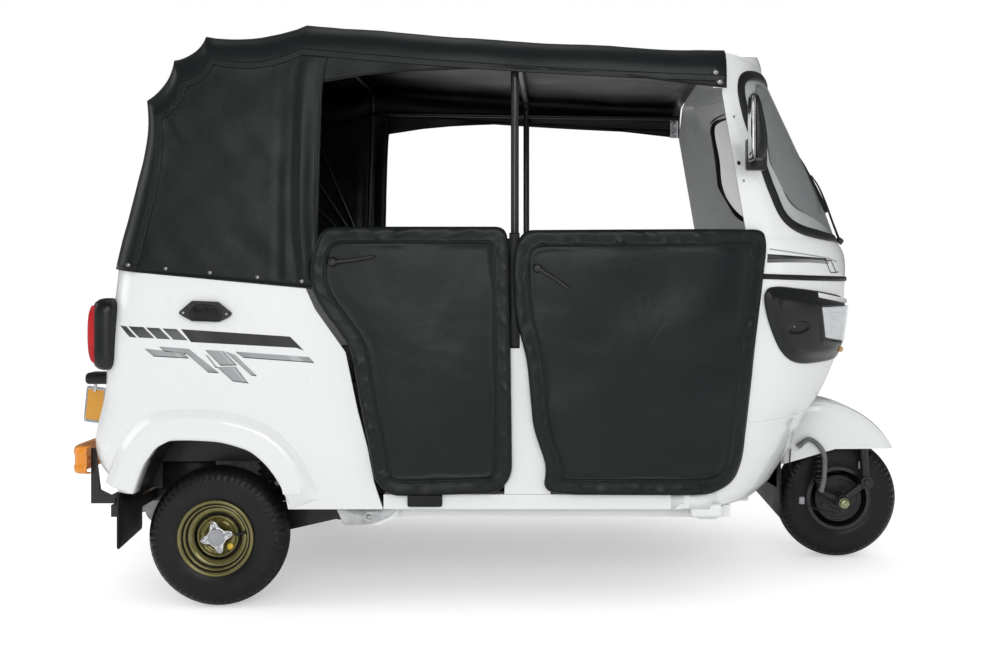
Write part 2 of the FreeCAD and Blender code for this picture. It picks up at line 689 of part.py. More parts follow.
def silencer():
    """Exhaust silencer across the rear between the rails, with its inlet and tail pipe."""
    z = 262 - SEAT_GAP - SILENCER_RADIUS
    drum = rod(V(SILENCER_X, -262, z), V(SILENCER_X, 60, z), SILENCER_RADIUS)
    pipe = tube([V(SILENCER_X, 55, z), V(SILENCER_X, 130, z), V(-1120 - SEAT_GAP, 130, z)], 16, 20)
    tail = rod(V(SILENCER_X - 30, -200, z), V(SILENCER_X - 80, -200, z - 10), 14)
    return drum.fuse(pipe).fuse(tail)


HUB_Y = 470.0
PIVOT_RADIUS = 24.0
ARM_INNER_Y = 412.0
ARM_OUTER_Y = 464.0
REAR_PIVOT = V(-520, 460, 268)


def rear_arm():
    """Left trailing arm with its pivot tube, hub carrier and stub axle."""
    axle = V(REAR_AXLE_X, HUB_Y, TYRE_RADIUS)
    pivot = rod(V(REAR_PIVOT.x, 330, REAR_PIVOT.z), V(REAR_PIVOT.x, 535, REAR_PIVOT.z), PIVOT_RADIUS)
    outline = [(-500, 294), (-500, 240), (-830, 165), (-905, 168), (-905, 250), (-830, 262)]
    arm = plate_y(outline, ARM_INNER_Y, ARM_OUTER_Y, 20)
    hub = rod(axle + V(0, -30, 0), axle + V(0, 30, 0), 52)
    stub = rod(axle, V(REAR_AXLE_X, REAR_TRACK / 2 + 22, TYRE_RADIUS), AXLE_RADIUS)
    return pivot.fuse(arm).fuse(hub).fuse(stub).removeSplitter()


def coil_profile(radius, wire, length, turns):
    """Ribbed outline of a coil spring on its damper, as (radius, offset) pairs."""
    points = [(0, 0)]
    pitch = length / turns
    for i in range(turns):
        base = i * pitch
        points += [(radius - wire, base), (radius, base + pitch * 0.3), (radius, base + pitch * 0.55), (radius - wire, base + pitch * 0.8)]
    points += [(radius - wire, length), (0, length)]
    return points


def spring(low, high, radius, turns):
    """Coil spring with its damper between two eyes."""
    along = high.sub(low)
    length = along.Length
    body = Part.Face(Part.makePolygon([V(r, 0, z + 20) for r, z in coil_profile(radius, 7, length - 40, turns)] + [V(0, 0, 20)]))
    body = body.revolve(V(0, 0, 0), V(0, 0, 1), 360)
    body = body.fuse(Part.makeCylinder(9, length, V(0, 0, 0)))
    body.Placement = FreeCAD.Placement(low, FreeCAD.Rotation(V(0, 0, 1), along))
    return body


def rear_spring():
    """Left rear spring between the trailing arm and the wheel housing."""
    return spring(V(-770, 434, 270), V(-762, 434, 475), 30, 7)


def drive_shaft():
    """Left drive shaft with a boot at each end."""
    z = TYRE_RADIUS
    start_y = ENGINE_HALF_WIDTH + SEAT_GAP
    end_y = ARM_INNER_Y - SEAT_GAP
    shaft = rod(V(REAR_AXLE_X, start_y, z), V(REAR_AXLE_X, end_y, z), 13)
    boot = Part.makeCone(36, 20, 60, V(REAR_AXLE_X, start_y, z), V(0, 1, 0))
    outer_boot = Part.makeCone(20, 36, 60, V(REAR_AXLE_X, end_y - 60, z), V(0, 1, 0))
    return shaft.fuse(boot).fuse(outer_boot)


def side_vent():
    """Left air vent: lugged frame with a slotted oval grille."""
    outline = [(-972, 876), (-930, 912), (-855, 909), (-812, 874), (-826, 862), (-850, 850), (-930, 852), (-956, 866)]
    vent = headlamp_shell(SEAM, 12).common(plate_y(outline, 500, SIDE_Y, 8))
    for i in range(5):
        z = 860 + i * 7
        vent = vent.cut(box(-925, -855, 500, 700, z, z + 3.5).cut(body_envelope(5)))
    return vent


# Wheels

def tyre(centre):
    """Tyre with round shoulders, standing on its rim's bead seats."""
    half = TYRE_WIDTH / 2
    x = centre.x

    def at(radius, offset):
        return V(x + radius, centre.y + offset, centre.z)

    section = [
        (BEAD_RADIUS, 44), (114, 46), (135, half - 2), (160, half), (184, half - 4), (198, 36), (206, 20),
        (TYRE_RADIUS, 0),
    ]
    section += [(radius, -offset) for radius, offset in reversed(section[:-1])]
    return turned(section, centre)


def rear_rim(centre, side):
    """Pressed steel rim with stepped disc, drum and the star-shaped hub cover."""
    bore = AXLE_RADIUS + BORE_CLEARANCE
    profile = [
        (bore, -40), (76, -40), (76, -6), (BEAD_RADIUS - 4, -6), (BEAD_RADIUS - 4, -50), (RIM_RADIUS, -50),
        (RIM_RADIUS, -47), (BEAD_RADIUS, -44), (BEAD_RADIUS, 44), (RIM_RADIUS, 47), (RIM_RADIUS, 50),
        (106, 51), (98, 42), (94, 32), (86, 30), (82, 20), (74, 16), (66, 16), (60, 24), (50, 26), (bore, 26),
    ]
    rim = turned([(r, offset * side) for r, offset in profile], centre)
    cover_start = centre + V(0, 20 * side, 0)
    cover = Part.makeCylinder(28, 16, cover_start, V(0, side, 0))
    for i in range(5):
        angle = math.radians(90 + 72 * i)
        place = V(math.cos(angle) * 38, 0, math.sin(angle) * 38)
        cover = cover.fuse(Part.makeCylinder(9, 18, cover_start + place, V(0, side, 0)))
    cover = cover.cut(Part.makeCylinder(bore, 12, cover_start - V(0, 3 * side, 0), V(0, side, 0)))
    return rim.fuse(cover)


def front_rim(centre):
    """Front rim with its disc on the left and a brake drum open to the right."""
    bore = AXLE_RADIUS + BORE_CLEARANCE
    profile = [
        (bore, -36), (74, -36), (78, 14), (BEAD_RADIUS - 4, 20), (BEAD_RADIUS - 4, -50), (RIM_RADIUS, -50),
        (RIM_RADIUS, -47), (BEAD_RADIUS, -44), (BEAD_RADIUS, 44), (RIM_RADIUS, 47), (RIM_RADIUS, 50),
        (104, 50), (96, 30), (60, 28), (45, 36), (bore, 36),
    ]
    return turned(profile, centre)


# Steering parts

FORK_Y = -88.0
SHOULDER_RADIUS = 24.0
LINK_PIVOT = V(FRONT_AXLE_X + 85, FORK_Y, TYRE_RADIUS + 65)
DAMPER_FOOT = V(FRONT_AXLE_X - 75, FORK_Y, TYRE_RADIUS + 36)
DAMPER_HEAD = V(FRONT_AXLE_X - 72, FORK_Y + 4, 452)


def fork():
    """Steering column, bent fork leg, trailing link and axle."""
    column = axis_cylinder(COLUMN_RADIUS, 150, HANDLEBAR_RISE)
    leg = tube([on_axis(172), on_axis(150), V(1095, -62, 492), V(1188, FORK_Y, 436), LINK_PIVOT], 15, 40)
    shoulder = rod(on_axis(142), on_axis(WELL_CEILING - 5), SHOULDER_RADIUS)
    pin = rod(LINK_PIVOT + V(0, -22, 0), LINK_PIVOT + V(0, 22, 0), 22)
    axle_end = V(FRONT_AXLE_X, FORK_Y, TYRE_RADIUS)
    link = tube([LINK_PIVOT, axle_end, DAMPER_FOOT], 13, 10)
    axle = rod(V(FRONT_AXLE_X, -134, TYRE_RADIUS), V(FRONT_AXLE_X, 62, TYRE_RADIUS), AXLE_RADIUS)
    boss = rod(axle_end + V(0, -24, 0), V(FRONT_AXLE_X, -38, TYRE_RADIUS), 24)
    plate = rod(V(FRONT_AXLE_X, -46, TYRE_RADIUS), V(FRONT_AXLE_X, -38, TYRE_RADIUS), 80)
    bracket = rod(DAMPER_HEAD + V(0, 0, 2), V(1060, -40, 505), 9)
    nut = rod(V(FRONT_AXLE_X, 50, TYRE_RADIUS), V(FRONT_AXLE_X, 60, TYRE_RADIUS), 16)
    result = column
    for piece in (leg, shoulder, pin, link, axle, boss, plate, bracket, nut):
        result = result.fuse(piece)
    return result.removeSplitter()


def front_spring():
    """Front spring and damper behind the axle."""
    return spring(DAMPER_FOOT + V(0, 0, 12.1), DAMPER_HEAD - V(0, 0, 8), 21, 8)


def handlebar():
    """Handlebar with grips and its column clamp."""
    top = on_axis(HANDLEBAR_RISE)
    bar_points = [top + V(-70, -300, 6), top + V(-50, -190, 6), top + V(0, -60, 0), top + V(0, 60, 0)]
    bar_points += [top + V(-50, 190, 6), top + V(-70, 300, 6)]
    bar = tube(bar_points, 11, 40)
    grips = rod(top + V(-70, -300, 6), top + V(-52, -205, 6), 17).fuse(rod(top + V(-70, 300, 6), top + V(-52, 205, 6), 17))
    clamp = axis_cylinder(30, HANDLEBAR_RISE + SEAM, HANDLEBAR_RISE + 40)
    return bar.fuse(grips).fuse(clamp).cut(axis_cylinder(COLUMN_RADIUS + BORE_CLEARANCE, 300, HANDLEBAR_RISE + SEAM)).removeSplitter()


MUDGUARD_HALF = 112.0
MUDGUARD_WALL = 4.0
MUDGUARD_CENTRE = V(FRONT_AXLE_X - 95, 0, TYRE_RADIUS + 34)
MUDGUARD_RADIUS = 313.0
MUDGUARD_REAR_RADIUS = 125.0
MUDGUARD_TIP_ANGLE = 28.0


def mudguard_wire(y, inset):
    """Side outline of the mudguard, drawn in by an inset: long front arc, short rear arc and straight skirts."""
    big = MUDGUARD_RADIUS - inset
    small = MUDGUARD_REAR_RADIUS - inset
    centre = V(MUDGUARD_CENTRE.x, y, MUDGUARD_CENTRE.z)
    rear_centre = centre + V(0, 0, MUDGUARD_RADIUS - MUDGUARD_REAR_RADIUS)

    def around(middle, radius, degrees):
        return middle + V(math.cos(math.radians(degrees)), 0, math.sin(math.radians(degrees))) * radius

    tip = around(centre, big, MUDGUARD_TIP_ANGLE)
    top = around(centre, big, 90)
    back = around(rear_centre, small, 180)
    low_z = TYRE_RADIUS + 20
    edges = [
        Part.Arc(tip, around(centre, big, 60), top).toShape(),
        Part.Arc(top, around(rear_centre, small, 135), back).toShape(),
        Part.makeLine(back, V(back.x, y, low_z)),
        Part.makeLine(V(back.x, y, low_z), V(tip.x, y, low_z)),
        Part.makeLine(V(tip.x, y, low_z), tip),
    ]
    return Part.Wire(edges)


def mudguard_loaf(inset):
    """Domed solid of the mudguard's outside, or of its inside when inset."""
    half = MUDGUARD_HALF - inset
    stations = [(-half, 36), (4 - half, 20), (16 - half, 6), (40 - half, 0)]
    stations += [(-y, draw) for y, draw in reversed(stations)]
    return Part.makeLoft([mudguard_wire(y, inset + draw) for y, draw in stations], True, True)


def front_mudguard():
    """Deep mudguard over the front wheel, turning with it."""
    shell = mudguard_loaf(0).cut(mudguard_loaf(MUDGUARD_WALL))
    lower_edge = [(800, 100), (1400, 100), (1400, 392), (1090, 390), (905, 336), (800, 330)]
    return shell.cut(plate_y(lower_edge, -200, 200)).cut(axis_cylinder(SHOULDER_RADIUS + SEAT_GAP, 100, 230))


def front_hose():
    """Corrugated hose from the mudguard to the brake plate."""
    return tube([V(960, -121.3, 400), V(1000, -128, 425), V(1045, -130, 380), V(1048, -128, 300), V(1042, -109.1, 246)], 9, 30)


# Doors

def door_layer(low, high):
    """Layer outside the body for the doors, which reach straight up past the windscreen's base."""
    layers = []
    for grow in (high, low):
        top = Part.Face(body_section(BODY_LEVELS[-1], grow)).extrude(V(0, 0, 48))
        layers.append(body_envelope(grow).fuse(top))
    return layers[0].cut(layers[1])


DOOR_SHEET = door_layer(DOOR_GAP, DOOR_GAP + DOOR_THICKNESS)
DOOR_RECESS = door_layer(DOOR_GAP + DOOR_THICKNESS - 5, DOOR_GAP + DOOR_THICKNESS + 10)


def door(outline, latch_x, latch_z):
    """Left soft door: padded rim, sunk middle and a latch lever near its rear top corner."""
    panel = DOOR_SHEET.common(plate_y(outline, 300, SIDE_Y, 30))
    middle = grown_outline(outline, 300, -42, 30).extrude(V(0, SIDE_Y - 300, 0))
    panel = panel.cut(DOOR_RECESS.common(middle))
    y = BODY_HALF_WIDTH + DOOR_GAP + DOOR_THICKNESS - 8
    knob = rod(V(latch_x, y, latch_z), V(latch_x, y + 16, latch_z), 13)
    lever = tube([V(latch_x, y + 12, latch_z), V(latch_x + 35, y + 14, latch_z), V(latch_x + 105, y + 14, latch_z - 30)], 5, 10)
    return panel.fuse(knob).fuse(lever)


def left_wheel_centre():
    return V(REAR_AXLE_X, REAR_TRACK / 2, TYRE_RADIUS)


def save(name, shape):
    """One node per file."""
    solids = shape.Solids
    print(name, len(solids), shape.isValid(), [round(s.Volume / 1000) for s in solids][:8])
    shape.exportStep("parts/" + name + ".step")


def main():
    os.makedirs("parts", exist_ok=True)
    save("nose_panel", nose_panel())
    save("windscreen_frame", windscreen_frame())
    save("windscreen", windscreen())
    save("windscreen_seal", windscreen_seal())
    side = rear_side_panel()
    save("rear_side_panel_left", side)
    save("rear_side_panel_right", mirrored(side))
    save("rear_panel", rear_panel())
    save("engine_lid", engine_lid())
    save("side_frame", side_frame())
    save("floor_pan", floor_pan())
    save("seat_box", seat_box())
    save("front_wheel_well", front_wheel_well())
    save("dashboard", dashboard())
    save("passenger_seat", seat(-1040, 580, 610 + SEAT_GAP, 500, 990, 8))
    save("driver_seat", seat(190, 230, 590 + SEAT_GAP, 330, 1120, 6))
    save("hood_cloth", hood_cloth())
    save("rear_window", rear_window())
    save("hood_frame", hood_frame())
    save("headlamp_housings", both_sides(headlamp_housing()))
    save("headlamp_lenses", both_sides(headlamp_lens()))
    save("mirrors", both_sides(mirror()))
    save("wiper", wiper())
    save("tail_lamps", both_sides(tail_lamp().fuse(tail_lens())))
    save("number_plate", number_plate())
    save("rear_bumper", rear_bumper())
    save("chassis_frame", chassis_frame())
    save("mud_flaps", mud_flaps())
    save("engine_and_silencer", Part.makeCompound([engine_block(), silencer()]))
    save("rear_arms", both_sides(Part.makeCompound([rear_arm(), rear_spring(), drive_shaft()])))
    save("side_vents", both_sides(side_vent()))
    front_centre = V(FRONT_AXLE_X, 0, TYRE_RADIUS)
    save("front_tyre", tyre(front_centre))
    save("front_rim", front_rim(front_centre))
    centre = left_wheel_centre()
    save("rear_tyre_left", tyre(centre))
    save("rear_rim_left", rear_rim(centre, 1))
    save("rear_tyre_right", mirrored(tyre(centre)))
    save("rear_rim_right", mirrored(rear_rim(centre, 1)))
    save("fork", fork())
    save("front_spring", front_spring())
    save("handlebar", handlebar())
    save("front_mudguard", front_mudguard())
    save("front_hose", front_hose())
    front = door(FRONT_DOOR, 84, 1008)
    rear = door(REAR_DOOR, -515, 1026)
    save("front_door_left", front)
    save("front_door_right", mirrored(front))
    save("rear_door_left", rear)
    save("rear_door_right", mirrored(rear))


main()
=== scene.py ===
import json
import math

import bmesh
import bpy
import numpy as np
from mathutils.bvhtree import BVHTree
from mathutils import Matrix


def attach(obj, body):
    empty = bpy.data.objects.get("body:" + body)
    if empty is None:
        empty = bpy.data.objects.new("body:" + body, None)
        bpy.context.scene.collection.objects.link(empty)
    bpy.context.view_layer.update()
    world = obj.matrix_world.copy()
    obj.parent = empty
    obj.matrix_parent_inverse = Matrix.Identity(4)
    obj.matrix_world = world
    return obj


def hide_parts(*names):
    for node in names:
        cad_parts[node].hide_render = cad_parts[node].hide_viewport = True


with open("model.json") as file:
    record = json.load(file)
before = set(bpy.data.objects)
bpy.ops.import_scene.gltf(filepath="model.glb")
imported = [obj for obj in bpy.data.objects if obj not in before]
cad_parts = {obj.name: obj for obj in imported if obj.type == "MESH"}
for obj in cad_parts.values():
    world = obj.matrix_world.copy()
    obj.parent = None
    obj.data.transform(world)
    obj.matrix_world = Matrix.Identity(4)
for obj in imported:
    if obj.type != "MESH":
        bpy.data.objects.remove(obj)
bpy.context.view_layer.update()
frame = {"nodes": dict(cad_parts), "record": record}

# Picture and camera
IMAGE_WIDTH = 991
IMAGE_HEIGHT = 663
FOCAL_PIXELS = 1119
CENTRE_X_PIXEL = 559
CENTRE_Y_PIXEL = 268
SENSOR_WIDTH = 36.0
CAMERA_PLACE = (0.1465, -3.933, 1.008)

# Strength of the white world as light and in mirrored rays, and the floor's own glow
AMBIENT = 0.72
MIRRORED = 0.15
FLOOR_GLOW = 0.42
FLOOR_REACH = 60.0

# Lamps: name, place, target, size, power
LAMPS = [
    ("key", (0.9, -5.0, 2.7), (0.1, 0.0, 0.8), (3.0, 1.2), 50),
    ("fill", (-0.9, -4.9, 1.5), (0.6, 0.5, 1.3), (1.8, 1.0), 26),
    ("top", (-0.6, 0.4, 5.2), (0.0, 0.0, 0.8), (3.0, 2.0), 18),
    ("front", (4.6, -2.4, 1.9), (0.8, 0.0, 0.8), (1.6, 2.4), 14),
    ("rear", (-4.6, -0.9, 2.2), (-0.9, -0.2, 0.9), (2.0, 2.2), 30),
]
SIDES = (("left", 1), ("right", -1))


def placed(name, data):
    """Object with the given data, linked to the scene."""
    made = bpy.data.objects.new(name, data)
    bpy.context.scene.collection.objects.link(made)
    return made


def make_camera():
    """Level camera on the right side, with the shift that the photograph's framing needs."""
    data = bpy.data.cameras.new("camera")
    data.sensor_width = SENSOR_WIDTH
    data.lens = FOCAL_PIXELS * SENSOR_WIDTH / IMAGE_WIDTH
    data.shift_x = (IMAGE_WIDTH / 2 - CENTRE_X_PIXEL) / IMAGE_WIDTH
    data.shift_y = (CENTRE_Y_PIXEL - IMAGE_HEIGHT / 2) / IMAGE_WIDTH
    camera = placed("camera", data)
    camera.location = CAMERA_PLACE
    camera.rotation_euler = (math.radians(90), 0, 0)
    bpy.context.scene.camera = camera
    bpy.context.scene.view_settings.view_transform = "Standard"


def area_lamp(name, place, target, size, power):
    """Large soft lamp that faces a target point."""
    data = bpy.data.lights.new(name, "AREA")
    data.shape = "RECTANGLE"
    data.size, data.size_y = size
    data.energy = power
    lamp = placed(name, data)
    away = np.array(target, float) - np.array(place, float)
    lamp.location = place
    tilt = math.atan2(math.hypot(away[0], away[1]), -away[2])
    lamp.rotation_euler = (tilt, 0, math.atan2(away[1], away[0]) - math.pi / 2)


# Shader nodes

def fill(tree, node, sockets):
    """Gives sockets a value, or a link where the value is another node's output."""
    for label, value in sockets.items():
        socket = node.inputs[label.replace("_", " ") if isinstance(label, str) else label]
        if isinstance(value, bpy.types.NodeSocket):
            tree.links.new(value, socket)
        else:
            socket.default_value = value


def add_node(tree, kind, *inputs, **named):
    """Outputs of a new node: lower-case names are its options, capitalised ones and the list its sockets."""
    node = tree.nodes.new("ShaderNode" + kind)
    for label in [label for label in named if label.islower()]:
        setattr(node, label, named.pop(label))
    fill(tree, node, dict(enumerate(inputs)) | named)
    return node.outputs


def seen_directly(tree):
    """1 for camera and transmission rays, 0 for the rays that light the object or mirror in it."""
    path = add_node(tree, "LightPath")
    return add_node(tree, "Math", path["Is Camera Ray"], path["Is Transmission Ray"], operation="MAXIMUM")[0]


def make_studio():
    """White world, pale floor that keeps the shadow, and soft lamps."""
    world = bpy.data.worlds.new("studio")
    world.use_nodes = True
    tree = world.node_tree
    level = add_node(tree, "MapRange", Value=seen_directly(tree), To_Min=AMBIENT, To_Max=1.0)["Result"]
    glossy = add_node(tree, "LightPath")["Is Glossy Ray"]
    strength = add_node(tree, "Mix", Factor=glossy, A=level, B=MIRRORED)["Result"]
    fill(tree, tree.nodes["Background"], {"Color": (1, 1, 1, 1), "Strength": strength})
    bpy.context.scene.world = world

    mesh = bpy.data.meshes.new("floor")
    corners = [(-1, -1), (1, -1), (1, 1), (-1, 1)]
    mesh.from_pydata([(x * FLOOR_REACH, y * FLOOR_REACH, 0) for x, y in corners], [], [(0, 1, 2, 3)])
    floor = placed("floor", mesh)
    pale = Finish("pale_floor", (0.9, 0.9, 0.9), 0.9, Specular_IOR_Level=0.1, Emission_Color=(1, 1, 1, 1))
    seen = seen_directly(pale.tree)
    pale.set(Emission_Strength=pale.node("Math", seen, FLOOR_GLOW, operation="MULTIPLY")[0])
    mesh.materials.append(pale.material)
    for lamp in LAMPS:
        area_lamp(*lamp)


# Node groups shared by the materials

def make_group(name, output, build, **inputs):
    """Group with float inputs and one float output that build makes from them and Object coordinates."""
    tree = bpy.data.node_groups.new(name, "ShaderNodeTree")
    for label, value in inputs.items():
        label = label.replace("_", " ")
        socket = tree.interface.new_socket(label, in_out="INPUT", socket_type="NodeSocketFloat")
        socket.default_value = value
    tree.interface.new_socket(output, in_out="OUTPUT", socket_type="NodeSocketFloat")
    given = tree.nodes.new("NodeGroupInput").outputs
    result = build(tree, given, add_node(tree, "TexCoord")["Object"])
    tree.links.new(result, tree.nodes.new("NodeGroupOutput").inputs[0])
    return tree


def patches(tree, given, place):
    """Soft cloudy patches: noise stretched between Low and High."""
    noise = add_node(tree, "TexNoise", Vector=place, Scale=given["Scale"], Detail=6, Roughness=0.6)["Fac"]
    return add_node(tree, "MapRange", Value=noise, From_Min=0.3, From_Max=0.7, To_Min=given["Low"],
                    To_Max=given["High"])["Result"]


def grain(tree, given, place):
    """Moulded or leather grain: cell distances blended with fine noise."""
    cells = add_node(tree, "TexVoronoi", feature="SMOOTH_F1", Vector=place, Scale=given["Scale"])["Distance"]
    noise = add_node(tree, "TexNoise", Vector=place, Scale=given["Scale"], Detail=4)["Fac"]
    return add_node(tree, "Mix", Factor=given["Noise Share"], A=cells, B=noise)["Result"]


def low_dust(tree, given, place):
    """Road dust that thins out upward from the ground, broken up by noise."""
    height = add_node(tree, "SeparateXYZ", place)["Z"]
    top = given["Top Height"]
    fall = add_node(tree, "MapRange", Value=height, From_Max=top, To_Min=1, To_Max=0)["Result"]
    noise = add_node(tree, "TexNoise", Vector=place, Scale=9, Detail=8)["Fac"]
    broken = add_node(tree, "Math", fall, noise, operation="MULTIPLY")[0]
    return add_node(tree, "Math", broken, given["Amount"], operation="MULTIPLY")[0]


def weave(tree, given, place):
    """Plain weave: two crossed wave patterns, the higher one on top."""
    shape = {"Distortion": 0.4, "Vector": place, "Scale": given["Scale"]}
    waves = [add_node(tree, "TexWave", bands_direction=way, **shape)["Fac"] for way in ("X", "Z")]
    return add_node(tree, "Math", *waves, operation="MAXIMUM")[0]


PATCHES = make_group("patches", "Value", patches, Scale=5.0, Low=0.0, High=1.0)
GRAIN = make_group("grain", "Height", grain, Scale=400.0, Noise_Share=0.4)
LOW_DUST = make_group("low_dust", "Mask", low_dust, Top_Height=0.6, Amount=0.3)
WEAVE = make_group("weave", "Height", weave, Scale=900.0)


class Finish:
    """A material under construction, with short calls to place groups and link them."""

    def __init__(self, name, colour, roughness, metallic=0.0, **sockets):
        self.material = bpy.data.materials.new(name)
        self.material.use_nodes = True
        self.tree = self.material.node_tree
        self.shader = self.tree.nodes["Principled BSDF"]
        self.plain = colour
        self.roughness = roughness
        self.top = (*colour, 1)
        self.set(Base_Color=self.top, Roughness=roughness, Metallic=metallic, **sockets)

    def set(self, **sockets):
        """Sets or links the shader's own sockets; underscores in the names stand for spaces."""
        fill(self.tree, self.shader, sockets)

    def node(self, kind, *inputs, **named):
        """Outputs of a new node in this material."""
        return add_node(self.tree, kind, *inputs, **named)

    def group(self, group, **values):
        """Output of a node group whose inputs are set by name."""
        return self.node("Group", node_tree=group, **values)[0]

    def mixed(self, share, lift=0.0):
        """The plain colour times a share, plus a lift."""
        return tuple(channel * share + lift for channel in self.plain)

    def tint(self, mask, other):
        """Mixes another colour over the surface where the mask is high."""
        self.top = self.node("Mix", data_type="RGBA", Factor=mask, A=self.top, B=(*other, 1))["Result"]
        self.set(Base_Color=self.top)

    def cloud(self, scale, low, high, share, lift=0.0):
        """Tints cloudy patches with a share of the plain colour."""
        self.tint(self.group(PATCHES, Scale=scale, Low=low, High=high), self.mixed(share, lift))

    def rough(self, scale, low, high):
        """Roughness that varies in patches between two shares of the plain one."""
        low, high = self.roughness * low, self.roughness * high
        self.set(Roughness=self.group(PATCHES, Scale=scale, Low=low, High=high))

    def bump(self, height, distance, strength):
        """Bump from a height output; a second call stacks on the first."""
        under = {"Normal": link.from_socket for link in self.shader.inputs["Normal"].links}
        made = self.node("Bump", Height=height, Distance=distance, Strength=strength, **under)
        self.set(Normal=made["Normal"])

    def along(self, axis):
        """The object's own coordinate along an axis."""
        return self.node("SeparateXYZ", self.node("TexCoord")["Object"])[axis]


ROAD_DUST = (0.36, 0.33, 0.28)


def painted(name, colour, roughness=0.3, dust=0.25, coat=0.5):
    """Sprayed enamel: slight orange peel, cloudy gloss and dust near the ground."""
    finish = Finish(name, colour, roughness, Coat_Weight=coat, Coat_Roughness=0.06)
    finish.rough(3.0, 0.9, 1.15)
    finish.cloud(1.1, 0.0, 0.3, 0.985)
    dusty = tuple(c * 0.6 + 0.4 * g for c, g in zip(colour, ROAD_DUST))
    finish.tint(finish.group(LOW_DUST, Top_Height=0.55, Amount=dust), dusty)
    finish.bump(finish.group(PATCHES, Scale=260.0), 0.00012, 0.35)
    return finish.material


def lacquered(name, colour, roughness=0.3):
    """Metallic lacquer on pressed steel: half metal, clear coated."""
    finish = Finish(name, colour, roughness, 0.55, Coat_Weight=0.8, Coat_Roughness=0.08)
    finish.rough(18.0, 0.8, 1.3)
    finish.cloud(12.0, -0.2, 0.5, 0.55)
    finish.bump(finish.group(PATCHES, Scale=200.0), 0.0001, 0.4)
    return finish.material


def moulded(name, colour, roughness=0.5, cells=700.0, shine=0.5):
    """Moulded plastic or rubber with a fine grain and slightly paler scuffs."""
    finish = Finish(name, colour, roughness, Specular_IOR_Level=shine)
    finish.rough(14.0, 0.85, 1.15)
    finish.cloud(22.0, -0.3, 0.5, 1.5, 0.003)
    finish.bump(finish.group(GRAIN, Scale=cells, Noise_Share=0.3), 0.0002, 0.5)
    return finish.material


def vinyl(name, colour, roughness=0.42):
    """Coated cloth: woven backing pressed through a leathery skin, a soft sheen, and painted shade that
    darkens the faces turned downward.
    """
    finish = Finish(name, colour, roughness, Specular_IOR_Level=0.24)
    finish.rough(5.0, 0.8, 1.25)
    finish.cloud(4.0, -0.2, 0.55, 1.5, 0.002)
    finish.bump(finish.group(PATCHES, Scale=9.0), 0.004, 0.25)
    finish.bump(finish.group(GRAIN, Scale=520.0, Noise_Share=0.5), 0.0003, 0.6)
    finish.bump(finish.group(WEAVE, Scale=220.0), 0.0002, 0.3)
    # Painted shade: the base colour drops to 15 percent where the face turns downward.
    upward = finish.node("SeparateXYZ", finish.node("NewGeometry")["Normal"])["Z"]
    below = finish.node("MapRange", Value=upward, From_Min=-0.1, From_Max=-0.7)["Result"]
    finish.tint(below, finish.mixed(0.15))
    return finish.material


def clear(name, colour, roughness=0.03, alpha=0.25):
    """Clear sheet or lens: a thin tinted skin that lets light through."""
    finish = Finish(name, colour, roughness, Alpha=alpha, IOR=1.45)
    finish.rough(30.0, 0.7, 1.6)
    return finish.material


def pane(name, colour, facing, grazing):
    """Window pane that lets less through where it is seen along its face."""
    finish = Finish(name, colour, 0.03)
    finish.rough(12.0, 2 / 3, 2.0)
    view = finish.node("LayerWeight", Blend=0.35)["Facing"]
    finish.set(Alpha=finish.node("MapRange", Value=view, To_Min=facing, To_Max=grazing)["Result"])
    return finish.material


def bare_metal(name, colour, roughness=0.35):
    """Bare or plated metal with cloudy roughness and small dents."""
    finish = Finish(name, colour, roughness, 1.0)
    finish.rough(25.0, 0.7, 1.4)
    finish.cloud(35.0, -0.3, 0.6, 0.6)
    finish.bump(finish.group(PATCHES, Scale=120.0), 0.0002, 0.3)
    return finish.material


def faded(name, first, second, start, end, roughness=0.35):
    """Printed film whose colour fades from first to second along the object's X."""
    finish = Finish(name, first, roughness, Coat_Weight=0.5, Coat_Roughness=0.1)
    fade = finish.node("MapRange", Value=finish.along("X"), From_Min=start, From_Max=end)["Result"]
    finish.tint(fade, second)
    finish.bump(finish.group(PATCHES, Scale=500.0), 0.00005, 0.3)
    return finish.material


def two_tone(name, first, second, change, roughness=0.35):
    """Enamel of the first colour behind a place on X and of the second ahead of it."""
    finish = Finish(name, first, roughness, Coat_Weight=0.3, Coat_Roughness=0.1)
    finish.tint(finish.node("Math", finish.along("X"), change, operation="GREATER_THAN")[0], second)
    finish.rough(6.0, 0.8, 1.3)
    finish.bump(finish.group(PATCHES, Scale=200.0), 0.0001, 0.4)
    return finish.material


WHITE = (0.80, 0.815, 0.82)
BLACK = (0.008, 0.009, 0.0095)
STEEL_BLACK = (0.008, 0.008, 0.0085)
VINYL_BLACK = (0.0080, 0.0102, 0.0105)

